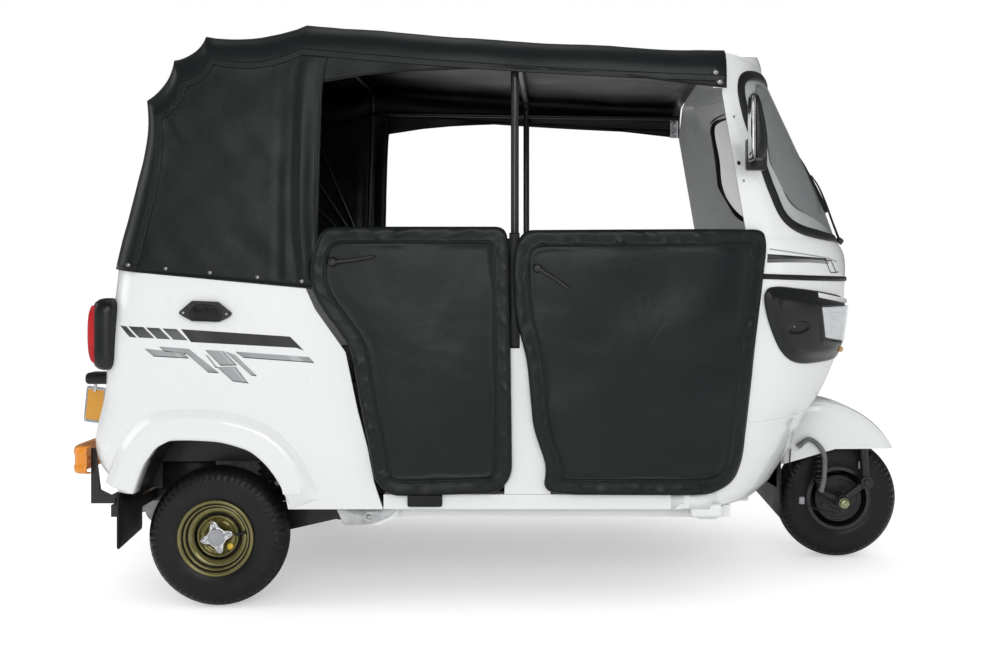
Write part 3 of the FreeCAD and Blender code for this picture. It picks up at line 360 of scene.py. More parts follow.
MATERIALS = {
    "white_paint": painted("white_enamel", WHITE, 0.28, 0.05, 0.7),
    "clear_glass": pane("screen_glass", (0.20, 0.215, 0.215), 0.20, 0.9),
    "black_rubber": moulded("black_rubber", BLACK, 0.5, 500.0, 0.3),
    "black_steel": painted("black_steel", STEEL_BLACK, 0.42, 0.05, 0.1),
    "black_plastic": moulded("grained_black", (0.010, 0.011, 0.012), 0.42, 900.0),
    "seat_vinyl": vinyl("seat_vinyl", (0.03, 0.03, 0.032), 0.45),
    "hood_vinyl": vinyl("hood_vinyl", VINYL_BLACK, 0.33),
    "door_vinyl": vinyl("door_vinyl", VINYL_BLACK, 0.30),
    "clear_vinyl": clear("clear_vinyl", (0.7, 0.72, 0.72), 0.12, 0.35),
    "black_tube": painted("black_tube", (0.010, 0.010, 0.011), 0.35, 0.02, 0.3),
    "clear_lens": clear("lamp_lens", (0.85, 0.88, 0.9), 0.04, 0.3),
    "red_lens": moulded("red_lens", (0.42, 0.008, 0.012), 0.12, 300.0),
    "plate_yellow": painted("plate_yellow", (0.66, 0.30, 0.015), 0.4, 0.02, 0.2),
    "orange_paint": painted("bumper_orange", (0.80, 0.27, 0.012), 0.3, 0.02, 0.6),
    "grey_castings": bare_metal("cast_alloy", (0.4, 0.4, 0.41), 0.5),
    "dark_steel": bare_metal("dull_steel", (0.18, 0.17, 0.16), 0.5),
    "tyre_rubber": moulded("tyre_rubber", (0.0045, 0.0048, 0.0052), 0.38, 350.0, 0.34),
    "rim_black": painted("rim_black", (0.007, 0.007, 0.0075), 0.3, 0.03, 0.4),
    "rim_olive": lacquered("rim_olive", (0.20, 0.175, 0.05), 0.24),
    # Near-black paint for the linings of the rim's grooves: painted shade
    "rim_groove_shade": painted("rim_groove_shade", (0.012, 0.011, 0.006), 0.3, 0.02, 0.5),
    "thread": moulded("thread", (0.035, 0.037, 0.038), 0.7, 900.0),
    "stud_metal": bare_metal("stud_metal", (0.35, 0.35, 0.36), 0.3),
    "grey_conduit": moulded("grey_conduit", (0.16, 0.165, 0.17), 0.5, 900.0),
    "film_black": painted("film_black", (0.011, 0.012, 0.013), 0.3, 0.05, 0.4),
    "film_silver": painted("film_silver", (0.33, 0.34, 0.35), 0.35, 0.05, 0.4),
    "film_fade": faded("film_fade", (0.018, 0.021, 0.022), (0.12, 0.125, 0.125), -1.16, -0.95),
    "film_fade_nose": faded("film_fade_nose", (0.05, 0.052, 0.053), (0.30, 0.31, 0.31), 0.77, 1.0),
    "white_enamel": painted("white_trim_enamel", WHITE, 0.28, 0.05, 0.7),
    "polished_alloy": bare_metal("polished_alloy", (0.78, 0.79, 0.82), 0.22),
    "mirror_metal": bare_metal("mirror_metal", (0.86, 0.87, 0.88), 0.06),
    "cap_grey": moulded("cap_grey", (0.30, 0.31, 0.33), 0.45, 700.0),
    "mark_yellow": painted("mark_yellow", (0.72, 0.50, 0.04), 0.4, 0.05, 0.2),
    "satin_black": painted("satin_black", (0.009, 0.009, 0.010), 0.36, 0.1, 0.3),
    "satin_plastic": moulded("satin_plastic", (0.007, 0.008, 0.009), 0.32, 1100.0, 0.4),
    "passivated_zinc": bare_metal("passivated_zinc", (0.52, 0.55, 0.33), 0.4),
    "underframe": two_tone("underframe_enamel", STEEL_BLACK, WHITE, -0.54),
    "cast_pale": bare_metal("pale_casting", (0.72, 0.73, 0.74), 0.45),
    "amber_lens": moulded("amber_lens", (0.55, 0.33, 0.14), 0.12, 300.0),
}
NODE_FINISH = {"chassis_frame": "underframe"}


def dress_nodes():
    """Gives every CAD node the finish of its slot in the record; the underframe has its own two tones."""
    for part in frame["record"]["subparts"]:
        mesh = frame["nodes"][part["node"]].data
        mesh.materials.clear()
        mesh.materials.append(MATERIALS[NODE_FINISH.get(part["node"], part["material_slot"])])


# Mesh tools; every length below is in millimetres until a mesh is made

MM = 0.001


def add_mesh(name, points, faces, material, body="body", slot=None, replaces=()):
    """Makes an object from points in millimetres and rides it on a body."""
    mesh = bpy.data.meshes.new(name)
    mesh.from_pydata((np.asarray(points, float).reshape(-1, 3) * MM).tolist(), [], faces)
    mesh.validate()
    mesh.polygons.foreach_set("use_smooth", [True] * len(mesh.polygons))
    mesh.materials.append(MATERIALS[material])
    piece = placed(name, mesh)
    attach(piece, body)
    if replaces:
        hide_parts(*replaces)
    return piece


def joined(name, parts, material, body="body", **kept):
    """One piece from several closed grids, each (points, faces), merged and turned outward."""
    points, faces, first = [], [], 0
    for part_points, part_faces in parts:
        flat = np.asarray(part_points, float).reshape(-1, 3)
        points.append(flat)
        faces.extend([[index + first for index in face] for face in part_faces])
        first += len(flat)
    piece = add_mesh(name, np.vstack(points), faces, material, body, **kept)
    work = bmesh.new()
    work.from_mesh(piece.data)
    bmesh.ops.remove_doubles(work, verts=work.verts, dist=0.00001)
    bmesh.ops.recalc_face_normals(work, faces=work.faces)
    work.to_mesh(piece.data)
    work.free()
    return piece


def grid_faces(rows, columns, close_rows=False, close_columns=False):
    """Quads of a grid of points, wrapped round where a direction is closed."""
    row = np.arange(rows if close_rows else rows - 1)
    column = np.arange(columns if close_columns else columns - 1)
    a, b = np.meshgrid(row, column, indexing="ij")
    next_a, next_b = (a + 1) % rows, (b + 1) % columns
    corners = [a * columns + b, a * columns + next_b, next_a * columns + next_b, next_a * columns + b]
    return np.stack(corners, axis=-1).reshape(-1, 4).tolist()


def capped(rings):
    """Rings of points as a tube that is closed at both ends by one face each."""
    rows, columns = rings.shape[:2]
    ends = [list(range(columns))[::-1], list(range((rows - 1) * columns, rows * columns))]
    return rings, grid_faces(rows, columns, close_columns=True) + ends


def looped(rings):
    """Rings of points as a tube that runs back into itself."""
    return rings, grid_faces(*rings.shape[:2], close_rows=True, close_columns=True)


def xyz(x, y, z):
    """Points from three coordinates of any shapes that go together."""
    return np.stack(np.broadcast_arrays(x, y, z), axis=-1)


def sideways(side):
    """Vector out of the left or right side."""
    return np.array((0.0, side, 0.0))


def unit(vectors):
    """Vectors at length one."""
    return vectors / np.maximum(np.linalg.norm(vectors, axis=-1, keepdims=True), 1e-9)


def smooth_path(corners, count, closed=False):
    """Catmull-Rom curve through the corners, count points spaced evenly along it."""
    corners = np.asarray(corners, float)
    if closed:
        around = np.vstack([corners[-1], corners, corners[0], corners[1]])
    else:
        around = np.vstack([2 * corners[0] - corners[1], corners, 2 * corners[-1] - corners[-2]])
    spans = len(around) - 3
    t = np.linspace(0, spans, spans * 24, endpoint=not closed)
    index = np.minimum(t.astype(int), spans - 1)
    u = (t - index)[:, None]
    p0, p1, p2, p3 = (around[index + k] for k in range(4))
    square, cube = 2 * p0 - 5 * p1 + 4 * p2 - p3, 3 * p1 - p0 - 3 * p2 + p3
    line = 0.5 * (2 * p1 + (p2 - p0) * u + square * u**2 + cube * u**3)
    return evenly(line, count, closed)


def evenly(line, count, closed=False):
    """The same line as count points at even distances."""
    line = np.asarray(line, float)
    if closed:
        line = np.vstack([line, line[:1]])
    steps = np.linalg.norm(np.diff(line, axis=0), axis=1)
    run = np.concatenate([[0], np.cumsum(steps)])
    wanted = np.linspace(0, run[-1], count, endpoint=not closed)
    return np.stack([np.interp(wanted, run, line[:, k]) for k in range(line.shape[1])], axis=1)


def rounded_outline(corners, radius, count):
    """Closed outline whose corners are cut by quadratic curves of the given reach."""
    corners = np.asarray(corners, float)

    def cut(away):
        return corners + unit(away) * np.minimum(radius, 0.45 * np.linalg.norm(away, axis=1))[:, None]

    start = cut(np.roll(corners, 1, axis=0) - corners)
    end = cut(np.roll(corners, -1, axis=0) - corners)
    u = np.linspace(0, 1, 12)[None, :, None]
    bends = start[:, None] * (1 - u) ** 2 + 2 * corners[:, None] * u * (1 - u) + end[:, None] * u**2
    return evenly(bends.reshape(-1, corners.shape[1]), count, closed=True)


def rectangle(half_x, half_y, x=0.0, y=0.0):
    """Corners of a rectangle round a centre."""
    return [(x + a * half_x, y + b * half_y) for a, b in ((-1, -1), (1, -1), (1, 1), (-1, 1))]


def circle(radius, count=12):
    """Round profile."""
    angle = np.linspace(0, 2 * math.pi, count, endpoint=False)
    return np.stack([radius * np.cos(angle), radius * np.sin(angle)], axis=1)


def strip(width, height, lift=0.0):
    """Flat profile with rounded edges, resting on its underside at lift."""
    corners = rectangle(width / 2, height / 2, 0, lift + height / 2)
    return rounded_outline(corners, min(width, height) * 0.35, 16)


def carried(profile, path, up=(0, 0, 1), closed=False):
    """Profile (sideways, upward), one or one for each point, carried square to a path; up fixes its turn."""
    path = np.asarray(path, float)
    if closed:
        tangent = unit(np.roll(path, -1, axis=0) - np.roll(path, 1, axis=0))
    else:
        tangent = unit(np.gradient(path, axis=0))
    side = unit(np.cross(tangent, np.broadcast_to(np.asarray(up, float), path.shape)))
    rise = np.cross(side, tangent)
    profile = np.asarray(profile, float)
    rings = path[:, None] + side[:, None] * profile[..., :1] + rise[:, None] * profile[..., 1:2]
    return looped(rings) if closed else capped(rings)


def tapered(radius, sides, path, up=(0, 0, 1)):
    """Round bar along a path, with a radius for each of its points."""
    return carried(circle(1.0, sides)[None] * radius[:, None, None], path, up)


def turned(profile, centre, axis, count=48, ring=False):
    """Profile (distance from the axis, place along it) turned round an axis, as a body or as a ring."""
    axis = unit(np.asarray(axis, float))
    helper = (0, 0, 1.0) if abs(axis[2]) < 0.9 else (1.0, 0, 0)
    across = unit(np.cross(axis, helper))
    angle = np.linspace(0, 2 * math.pi, count, endpoint=False)[:, None]
    about = np.cos(angle) * across + np.sin(angle) * np.cross(axis, across)
    profile = np.asarray(profile, float)[..., None, None]
    rings = np.asarray(centre, float) + profile[:, 1] * axis + profile[:, 0] * about
    return looped(rings) if ring else capped(rings)


def button(radius, height, place, out, count):
    """Low domed button head that stands on a place."""
    angle = np.linspace(0, math.pi / 2, 5)
    rim = np.stack([radius * np.cos(angle), height * np.sin(angle)], axis=1)
    rim[-1, 0] = radius * 0.02
    return turned(np.vstack([[radius, -1.0], rim]), place, out, count)


def block(side, low, high, radius, steps=5):
    """Rounded block of one side, from low to high on x, z and the distance out: rounded sections along x."""
    low, high = np.array(low, float), np.array(high, float)
    low[1], high[1] = sorted((side * low[1], side * high[1]))
    centre, half = (low + high) / 2, (high - low) / 2
    bend = np.linspace(0, math.pi / 2, steps)
    end = half[0] - radius * (1 - np.cos(bend))
    less = radius * (1 - np.sin(bend))
    rings = []
    for x, inset in zip(np.concatenate([-end, end[::-1]]), np.concatenate([less, less[::-1]])):
        corners = rectangle(half[1] - inset, half[2] - inset)
        loop = rounded_outline(corners, max(radius * 1.4 - inset, 2), 72)
        rings.append(xyz(x, loop[:, 0], loop[:, 1]) + centre)
    return capped(np.array(rings))


def slab(top, base):
    """Closed slab between two grids of the same size."""
    rows, columns = top.shape[:2]
    size = rows * columns
    upper = np.array(grid_faces(rows, columns))
    index = np.arange(size).reshape(rows, columns)
    edge = np.concatenate([index[0, :-1], index[:-1, -1], index[-1, :0:-1], index[:0:-1, 0]])
    after = np.roll(edge, -1)
    wall = np.stack([edge, edge + size, after + size, after], axis=1)
    points = np.concatenate([top.reshape(-1, 3), base.reshape(-1, 3)])
    return points, np.vstack([upper, upper[:, ::-1] + size, wall]).tolist()


def patch(corners, u, v):
    """Bilinear patch between four corners (x, z)."""
    a, b, c, d = np.asarray(corners, float)
    u, v = u[..., None], v[..., None]
    return (1 - u) * (1 - v) * a + u * (1 - v) * b + u * v * c + (1 - u) * v * d


def ripple(places, wavelength, amplitude, seed, waves=7):
    """Soft random relief: a sum of plane waves in seeded directions and phases."""
    draw = np.random.default_rng(seed)
    direction = unit(draw.normal(size=(waves, places.shape[-1])))
    stretch = 2 * math.pi / (wavelength * draw.uniform(0.6, 1.6, waves))
    phase = draw.uniform(0, 2 * math.pi, waves)
    waves_here = np.sin(np.tensordot(places, direction.T, axes=1) * stretch + phase)
    return amplitude * waves_here.mean(axis=-1) * 1.6


def solid_sheet(name, points, thickness, material, outward, kept_faces=None, **kept):
    """Sheet from one grid of points, thickened inward by Solidify; outward is a grid of normals."""
    faces = np.array(grid_faces(*points.shape[:2]))
    if kept_faces is not None:
        faces = faces[kept_faces.reshape(-1)]
    normal = np.cross(np.gradient(points, axis=1), np.gradient(points, axis=0))
    if np.sum(normal * outward) < 0:
        faces = faces[:, ::-1]
    piece = add_mesh(name, points, faces.tolist(), material, **kept)
    wall = piece.modifiers.new("thickness", "SOLIDIFY")
    wall.thickness = thickness * MM
    wall.offset = -1
    return piece


def stitches(path, normal, spacing=6.5, length=4.2, width=0.9):
    """Stitches along a path: long eight-sided grains that lie on the surface."""
    total = np.linalg.norm(np.diff(path, axis=0), axis=1).sum()
    centres = evenly(path, max(2, int(total / spacing)))
    tangent = unit(np.gradient(centres, axis=0))
    normals = np.broadcast_to(np.asarray(normal, float), centres.shape)
    side = unit(np.cross(tangent, normals))
    ends = np.stack([
        -tangent * length / 2, tangent * length / 2, -side * width / 2, side * width / 2,
        -normals * width * 0.4, normals * width * 0.6,
    ], axis=1)
    shape = [(0, 2, 5), (2, 1, 5), (1, 3, 5), (3, 0, 5), (2, 0, 4), (1, 2, 4), (3, 1, 4), (0, 3, 4)]
    faces = (np.arange(len(centres))[:, None, None] * 6 + np.array(shape)[None]).reshape(-1, 3).tolist()
    return centres[:, None] + ends, faces


# Hood

PIVOT = np.array((-609.0, 930.0))
HOOD_HALF = 642.0
SHOULDER = 75.0
CROWN = 8.0
CLOTH = 4.0
REAR_FOOT = (-1182.0, 1006.0)
BOWS = [(-1085.0, 1511.0), (-1005.0, 1632.0), (-909.0, 1706.0), (-609.0, 1740.0)]
ROOF_FRONT = (640.0, 1661.0)
# Sag, points and shape of each bay from the rear foot over the bows to the roof's front edge
BAYS = [(20.0, 60, 1.9), (17.0, 12, 1.0), (15.0, 12, 1.0), (24.0, 12, 1.0), (10.0, 34, 1.0)]
WINDOW_LOW = 1180.0
WINDOW_HIGH = 1390.0
WINDOW_HALF = 250.0
CURTAIN_FRONT = [(-572.0, 949.0), (-566.0, 1150.0), (-560.0, 1380.0), (-552.0, 1552.0)]
DOORWAY_REAR = -552
# Hem along the belt: height at a place on x, and its slope
HEM_X = -1400
HEM_Z = 1027
HEM_SLOPE = -0.0944
# Lower edge of the flaps over the doorways as (x, z)
FLAP_FOOT = np.array([(-556, 1556), (-420, 1578), (-300, 1590), (15, 1603), (330, 1577), (640, 1541)])
HEM_STUDS_X = (-1120, -1010, -880, -740, -610)
FLAP_STUDS = ((607, 1584), (619, 1556))


def hem_z(x):
    """Height of the hood's lower hem, a straight line along the belt."""
    return HEM_Z + (x - HEM_X) * HEM_SLOPE


def bay(start, end, sag, count, sharp):
    """Line from bow to bow that hangs inward: sag times a bent parabola, 4u(1-u) shifted by sharp."""
    start, end = np.array(start), np.array(end)
    u = np.linspace(0, 1, count)
    inward = unit(np.array((end[1] - start[1], start[0] - end[0])))
    hang = 4 * u**sharp * (1 - u**sharp)
    return start + (end - start) * u[:, None] + inward * sag * hang[:, None]


def hood_stations():
    """Tips of the hood's cross sections from the rear hem to the roof's front edge."""
    corners = [REAR_FOOT] + BOWS + [ROOF_FRONT]
    lines = [bay(*ends, *shape) for *ends, shape in zip(corners, corners[1:], BAYS)]
    rows = np.concatenate([np.linspace(REAR_FOOT[1], WINDOW_LOW, 9),
                           np.linspace(WINDOW_LOW, WINDOW_HIGH, 9)[1:],
                           np.linspace(WINDOW_HIGH, BOWS[0][1], 8)[1:]])
    rear = xyz(np.interp(rows, lines[0][:, 1], lines[0][:, 0]), rows, 0)[:, :2]
    return np.vstack([rear] + [line[1:] for line in lines[1:]])


def seam_drop(tips):
    """Distance from a tip down to the side seam: shorter round the rear corner than over the side."""
    return np.interp(tips[:, 1], [REAR_FOOT[1], BOWS[0][1], BOWS[1][1]], [78, 80, 95])


def section_directions(tips):
    """Direction of each section's plane: away from the pivot behind the last bow, upright ahead of it."""
    return np.where(tips[:, :1] < PIVOT[0], unit(tips - PIVOT), (0.0, 1.0))


def across_profile(drop):
    """Whole section as (y, distance below the tip) from seam to seam over the shoulders and the crown."""
    leg = np.linspace(drop, SHOULDER, 4)[:-1]
    angle = np.linspace(0, math.pi / 2, 10)
    flat = HOOD_HALF - SHOULDER
    flat_y = np.concatenate([np.linspace(flat, WINDOW_HALF, 9)[1:], np.linspace(WINDOW_HALF, 0, 8)[1:]])
    y = np.concatenate([np.full(len(leg), HOOD_HALF), flat + SHOULDER * np.cos(angle), flat_y])
    down = np.concatenate([leg, SHOULDER - SHOULDER * np.sin(angle), -CROWN * (1 - (flat_y / flat) ** 2)])
    return np.stack([np.concatenate([y, -y[-2::-1]]), np.concatenate([down, down[-2::-1]])], axis=1)


def hood_shell(tips, directions):
    """Grid over the hood's back and roof, from the left seam to the right one, with its normals."""
    section = np.array([across_profile(drop) for drop in seam_drop(tips)])
    flat = tips[:, None] - directions[:, None] * section[..., 1:]
    points = xyz(flat[..., 0], section[..., 0], flat[..., 1])
    normal = unit(np.cross(np.gradient(points, axis=0), np.gradient(points, axis=1)))
    normal *= np.sign(normal[..., 2:] - 0.3 * normal[..., :1])
    edge_fade = np.clip((drop_from_edge(section) - 6) / 60, 0, 1)
    relief = ripple(points, 260, 3.0, 11) + ripple(points, 90, 1.0, 12) + 1.5
    return points - normal * (relief * edge_fade)[..., None], normal


def drop_from_edge(section):
    """How far each point of a section lies from the nearer seam, along the cloth."""
    step = np.linalg.norm(np.diff(section, axis=1), axis=-1)
    run = np.concatenate([np.zeros((len(section), 1)), np.cumsum(step, axis=1)], axis=1)
    return np.minimum(run, run[:, -1:] - run)


def coons(bottom, top, left, right):
    """Surface between four edge lines: the sum of both ruled surfaces less the corners' bilinear one."""
    u = np.linspace(0, 1, len(bottom))[None, :, None]
    v = np.linspace(0, 1, len(left))[:, None, None]
    ruled = (1 - v) * bottom[None] + v * top[None] + (1 - u) * left[:, None] + u * right[:, None]
    low = (1 - u) * bottom[0] + u * bottom[-1]
    corners = (1 - v) * low + v * ((1 - u) * top[0] + u * top[-1])
    return ruled - corners


def curtain_points(seam):
    """Flat grid of a side curtain in (x, z): hem, front edge and the seam behind and above."""
    corner = int(np.argmin(np.linalg.norm(seam - (np.array(BOWS[0]) + (60, -52)), axis=1)))
    front = int(np.argmin(np.abs(seam[:, 0] - DOORWAY_REAR)))
    left = evenly(seam[: corner + 1], 46)
    top = evenly(seam[corner: front + 1], 64)
    right = smooth_path(CURTAIN_FRONT + [tuple(top[-1])], 46)
    x = np.linspace(left[0, 0], right[0, 0], 64)
    bottom = np.stack([x, hem_z(x)], axis=1)
    left[0] = bottom[0]
    return coons(bottom, top, left, right)


def curtain_relief(flat):
    """Relief of the curtain: folds by its front edge, a roll, a crease at the rear bow, slow waves."""
    v, u = np.meshgrid(np.linspace(0, 1, flat.shape[0]), np.linspace(0, 1, flat.shape[1]), indexing="ij")
    front = np.clip((u - 0.72) / 0.28, 0, 1)
    fold = 7.0 * front * np.sin((u - 0.72) * 62 + 2.2 * v + 0.7 * np.sin(5 * v))
    fold *= (1 - v) ** 0.35 * (1 - 0.65 * v)
    roll = 10.0 * np.exp(-(((u - 0.90) / 0.035) ** 2)) * np.sin(math.pi * np.clip(v * 1.02, 0, 1)) ** 0.8
    crease_line = np.abs((flat[..., 0] + 1000) * 0.75 + (flat[..., 1] - 1420) * 0.65)
    crease = -4.0 * np.exp(-((crease_line / 9) ** 2)) * np.exp(-((flat[..., 1] - 1425) / 45) ** 2)
    slow = ripple(flat, 300, 4.0, 21) + ripple(flat, 110, 1.4, 22)
    fade = np.clip(np.minimum.reduce([v / 0.05, (1 - v) / 0.05, u / 0.05]), 0, 1)
    return (fold + roll + crease + slow) * fade


def outside_window(points):
    """True for the grid's faces that lie outside the rear window's opening."""
    centre = (points[:-1, :-1] + points[1:, 1:]) / 2
    in_height = (centre[..., 2] > WINDOW_LOW) & (centre[..., 2] < WINDOW_HIGH)
    return ~(in_height & (centre[..., 0] < -1000) & (np.abs(centre[..., 1]) < WINDOW_HALF))


def side_cloth(name, x, y, z, side):
    """Sheet of one side of the hood from a grid at a distance y from the middle."""
    points = xyz(x, side * y, z)
    out = np.broadcast_to(sideways(side), points.shape)
    return solid_sheet(name, points, CLOTH, "hood_vinyl", out, slot="hood_vinyl"), points


def make_hood():
    """Vinyl hood as five sheets: the back with the roof, two side curtains and two flaps."""
    tips = hood_stations()
    directions = section_directions(tips)
    points, normal = hood_shell(tips, directions)
    inside = points.mean(axis=(0, 1)) + (250, 0, -450)
    outward = normal * np.sign(np.sum(normal * (points - inside), axis=-1, keepdims=True))
    back = solid_sheet("hood_back_and_roof", points, CLOTH, "hood_vinyl", outward,
                       kept_faces=outside_window(points), replaces=("hood_cloth",))
    seam = tips - directions * seam_drop(tips)[:, None]
    flat = curtain_points(seam)
    relief = curtain_relief(flat)
    for name, side in SIDES:
        x, y, z = flat[..., 0], HOOD_HALF + relief, flat[..., 1]
        curtain, cloth = side_cloth("hood_curtain_" + name, x, y, z, side)
        make_flap(seam, side, name)
        trim_hood(xyz(seam[:, 0], side * HOOD_HALF, seam[:, 1]), cloth, side, name)


def make_flap(seam, side, name):
    """Flap that hangs from the side seam over the doorways, waving a little toward its free edge."""
    x = np.linspace(DOORWAY_REAR, ROOF_FRONT[0], 120)
    order = np.argsort(seam[:, 0])
    top = np.interp(x, seam[order, 0], seam[order, 1])
    foot = np.interp(x, FLAP_FOOT[:, 0], FLAP_FOOT[:, 1])
    v = np.linspace(0, 1, 10)[:, None]
    curl = 6 * np.clip((x - 560) / 80, 0, 1) ** 2
    wave = v * (3.0 * np.sin(x / 61 + 1.0) + 2.0 * np.sin(x / 27) + curl)
    flap, cloth = side_cloth("hood_flap_" + name, x, HOOD_HALF + wave * 0.8, top * (1 - v) + foot * v, side)
    edge = carried(circle(3.6, 10), cloth[-1] - sideways(side) * CLOTH / 2, (0, 1, 0))
    joined("hood_flap_hem_" + name, [edge], "hood_vinyl", slot="hood_vinyl")
    return flap


def trim_hood(seam, cloth, side, name):
    """Felled side seam, rolled hems, stitches and press studs of one side."""
    out = sideways(side)
    seam = seam[seam[:, 2] > 1008]
    under = out * CLOTH / 2
    bars = [carried(strip(20, 1.8), evenly(seam, 220) + out * 0.3, out),
            carried(circle(4.2, 10), cloth[:, -1] - under, out),
            carried(circle(3.8, 10), cloth[0] - under, out)]
    joined("hood_seams_" + name, bars, "hood_vinyl", slot="hood_vinyl")
    line = evenly(seam, 400)
    across = np.cross(unit(np.gradient(line, axis=0)), out)
    rows = [line + across * shift + out * 2.2 for shift in (-6.5, 6.5)]
    rows += [cloth[:, -3] + out * 0.6, cloth[2] + out * 0.6]
    joined("hood_stitches_" + name, [stitches(row, out) for row in rows], "thread", slot="hood_vinyl")
    studs = [button(6.5, 3.2, (x, side * (HOOD_HALF + 0.5), hem_z(x) + 17), out, 20)
             for x in HEM_STUDS_X]
    studs += [button(9.5, 4.5, (x, side * (HOOD_HALF + 4.5), z), out, 24)
              for x, z in FLAP_STUDS]
    joined("hood_studs_" + name, studs, "stud_metal", slot="dark_steel")


def make_window_border():
    """Vinyl border round the rear window, a rounded rectangle that follows the back."""
    tips = hood_stations()[:24]
    window = rectangle(WINDOW_HALF, (WINDOW_HIGH - WINDOW_LOW) / 2, 0, (WINDOW_HIGH + WINDOW_LOW) / 2)
    y, z = rounded_outline(window, 34, 220).T
    x = np.interp(z, tips[:, 1], tips[:, 0]) - CROWN * (1 - (y / (HOOD_HALF - SHOULDER)) ** 2) * 0.98
    border = carried(strip(34, 3.5, lift=-1.5), xyz(x, y, z), (-0.97, 0, 0.22), closed=True)
    joined("rear_window_border", [border], "hood_vinyl", slot="hood_vinyl")


# Soft doors

BODY_HALF = 640.0
NOSE_START = 500.0
# Height and foremost x of the nose and of the windscreen's frame
NOSE_LEVELS = np.array([
    (298, 835), (327, 873), (372, 906), (433, 944), (516, 983), (545, 1005), (680, 1084), (880, 1128),
    (1000, 1131), (1050, 1127), (1102, 1093), (1140, 1093),
])
SCREEN_LEVELS = np.array([(1102, 1093), (1226, 1046), (1412, 953), (1579, 868), (1655, 830)])
FRONT_DOOR = [
    (12, 1040), (40, 1118), (757, 1122), (767, 1080), (728, 773), (694, 437), (668, 372), (600, 342),
    (176, 344), (100, 356), (112, 424), (72, 539), (54, 734), (18, 876),
]
REAR_DOOR = [
    (-2, 1060), (-10, 1128), (-545, 1128), (-578, 1050), (-583, 962), (-555, 899), (-496, 820),
    (-462, 770), (-433, 597), (-409, 483), (-394, 383), (-347, 340), (-32, 348), (8, 400), (4, 715),
    (0, 946),
]
DOOR_GAP = 1.0
# Latch: heights of its boss over the body and of the lever over the boss
BOSS_LIFT = 17.5
LEVER_LIFT = 13
# Door section: distance in from the edge, height over the body
DOOR_SECTION = [
    (26, 0.0), (10, 0.0), (3, 1.2), (0, 5.5), (-1.5, 11.0), (0, 16.5), (3, 20.2), (8, 22.4), (16, 22.6),
    (26, 20.6), (34, 19.0), (39, 18.6), (40.5, 20.4), (42.5, 21.4), (44.5, 20.4), (46, 17.4), (50, 16.2),
    (58, 16.6), (70, 17.6), (88, 18.6),
]
# Lever of each kind of latch, from its boss to its tip
LATCHES = {
    "front": [(84, 1008), (98, 1000), (138, 975), (178, 946)],
    "rear": [(-515, 1026), (-497, 1027), (-440, 1034), (-392, 1043)],
}


def nose_reach(z, levels=NOSE_LEVELS):
    """Foremost x of the body at a height."""
    return np.interp(z, levels[:, 0], levels[:, 1])


def body_width(x, z, grow=0.0, levels=NOSE_LEVELS):
    """Half width of the body: straight behind the nose, then a half-ellipse in plan."""
    reach = np.clip((x - NOSE_START) / (nose_reach(z, levels) + grow - NOSE_START), 0, 1)
    return (BODY_HALF + grow) * np.sqrt(1 - reach**2)


def drawn_in(outline, amount):
    """Outline with every edge moved inward by the amount; edges that would turn over are left out."""
    corners = np.asarray(outline, float)
    while True:
        edges = np.roll(corners, -1, axis=0) - corners
        after = unit(edges)
        before = np.roll(after, 1, axis=0)
        area = np.sum(corners[:, 0] * edges[:, 1] - corners[:, 1] * edges[:, 0])
        normal = np.stack([-before[:, 1], before[:, 0]], axis=1)
        bisector = unit(normal + np.stack([-after[:, 1], after[:, 0]], axis=1))
        share = np.maximum(np.sum(bisector * normal, axis=1, keepdims=True), 0.3)
        moved = corners + bisector / share * amount * np.sign(area)
        kept = np.sum((np.roll(moved, -1, axis=0) - moved) * after, axis=1)
        if kept.min() > 0:
            return moved
        worst = int(np.argmin(kept))
        gone = (worst + 1) % len(corners)
        start, direction = corners[worst - 1], after[worst - 1]
        other, other_way = corners[gone], after[gone]
        turn = direction[0] * other_way[1] - direction[1] * other_way[0]
        reach = ((other[0] - start[0]) * other_way[1] - (other[1] - start[1]) * other_way[0]) / turn
        corners = corners.copy()
        corners[worst] = start + direction * reach
        corners = np.delete(corners, gone, axis=0)


def door_points(outline):
    """Rings of the door's skin: the section above carried round outlines drawn in by its distances."""
    rings = []
    for inset, height in DOOR_SECTION:
        loop = rounded_outline(drawn_in(outline, inset), 34 if inset < 38 else 44, 300)
        rings.append(xyz(loop[:, 0], loop[:, 1], height))
    last = rings[-1]
    centre = np.append(last[:, :2].mean(axis=0), last[0, 2])
    for share in (0.86, 0.72, 0.58, 0.44, 0.30, 0.16, 0.03):
        rings.append(centre + (last - centre) * share + (0, 0, 2.2 * (1 - share)))
    centre[2] = 0
    return np.array([centre + (rings[0] - centre) * 0.03] + rings)


def door_relief(rings, seed):
    """Creases of the stretched vinyl: puckers across the rim, swells in the middle panel."""
    flat, height = rings[..., :2], rings[..., 2]
    row = np.arange(len(rings))[:, None]
    puckers = 2.2 * ((row >= 7) & (row < 14)) * np.maximum(0, ripple(flat, 46, 2.0, seed + 1)) ** 1.5
    swell = (row >= 18) * (ripple(flat, 360, 5.5, seed + 2) + ripple(flat, 120, 1.2, seed + 3))
    rim = np.exp(-((height - 20.5) / 2.5) ** 2) * (height > 15)
    return puckers + swell + ripple(flat, 30, 0.25, seed + 4) * rim


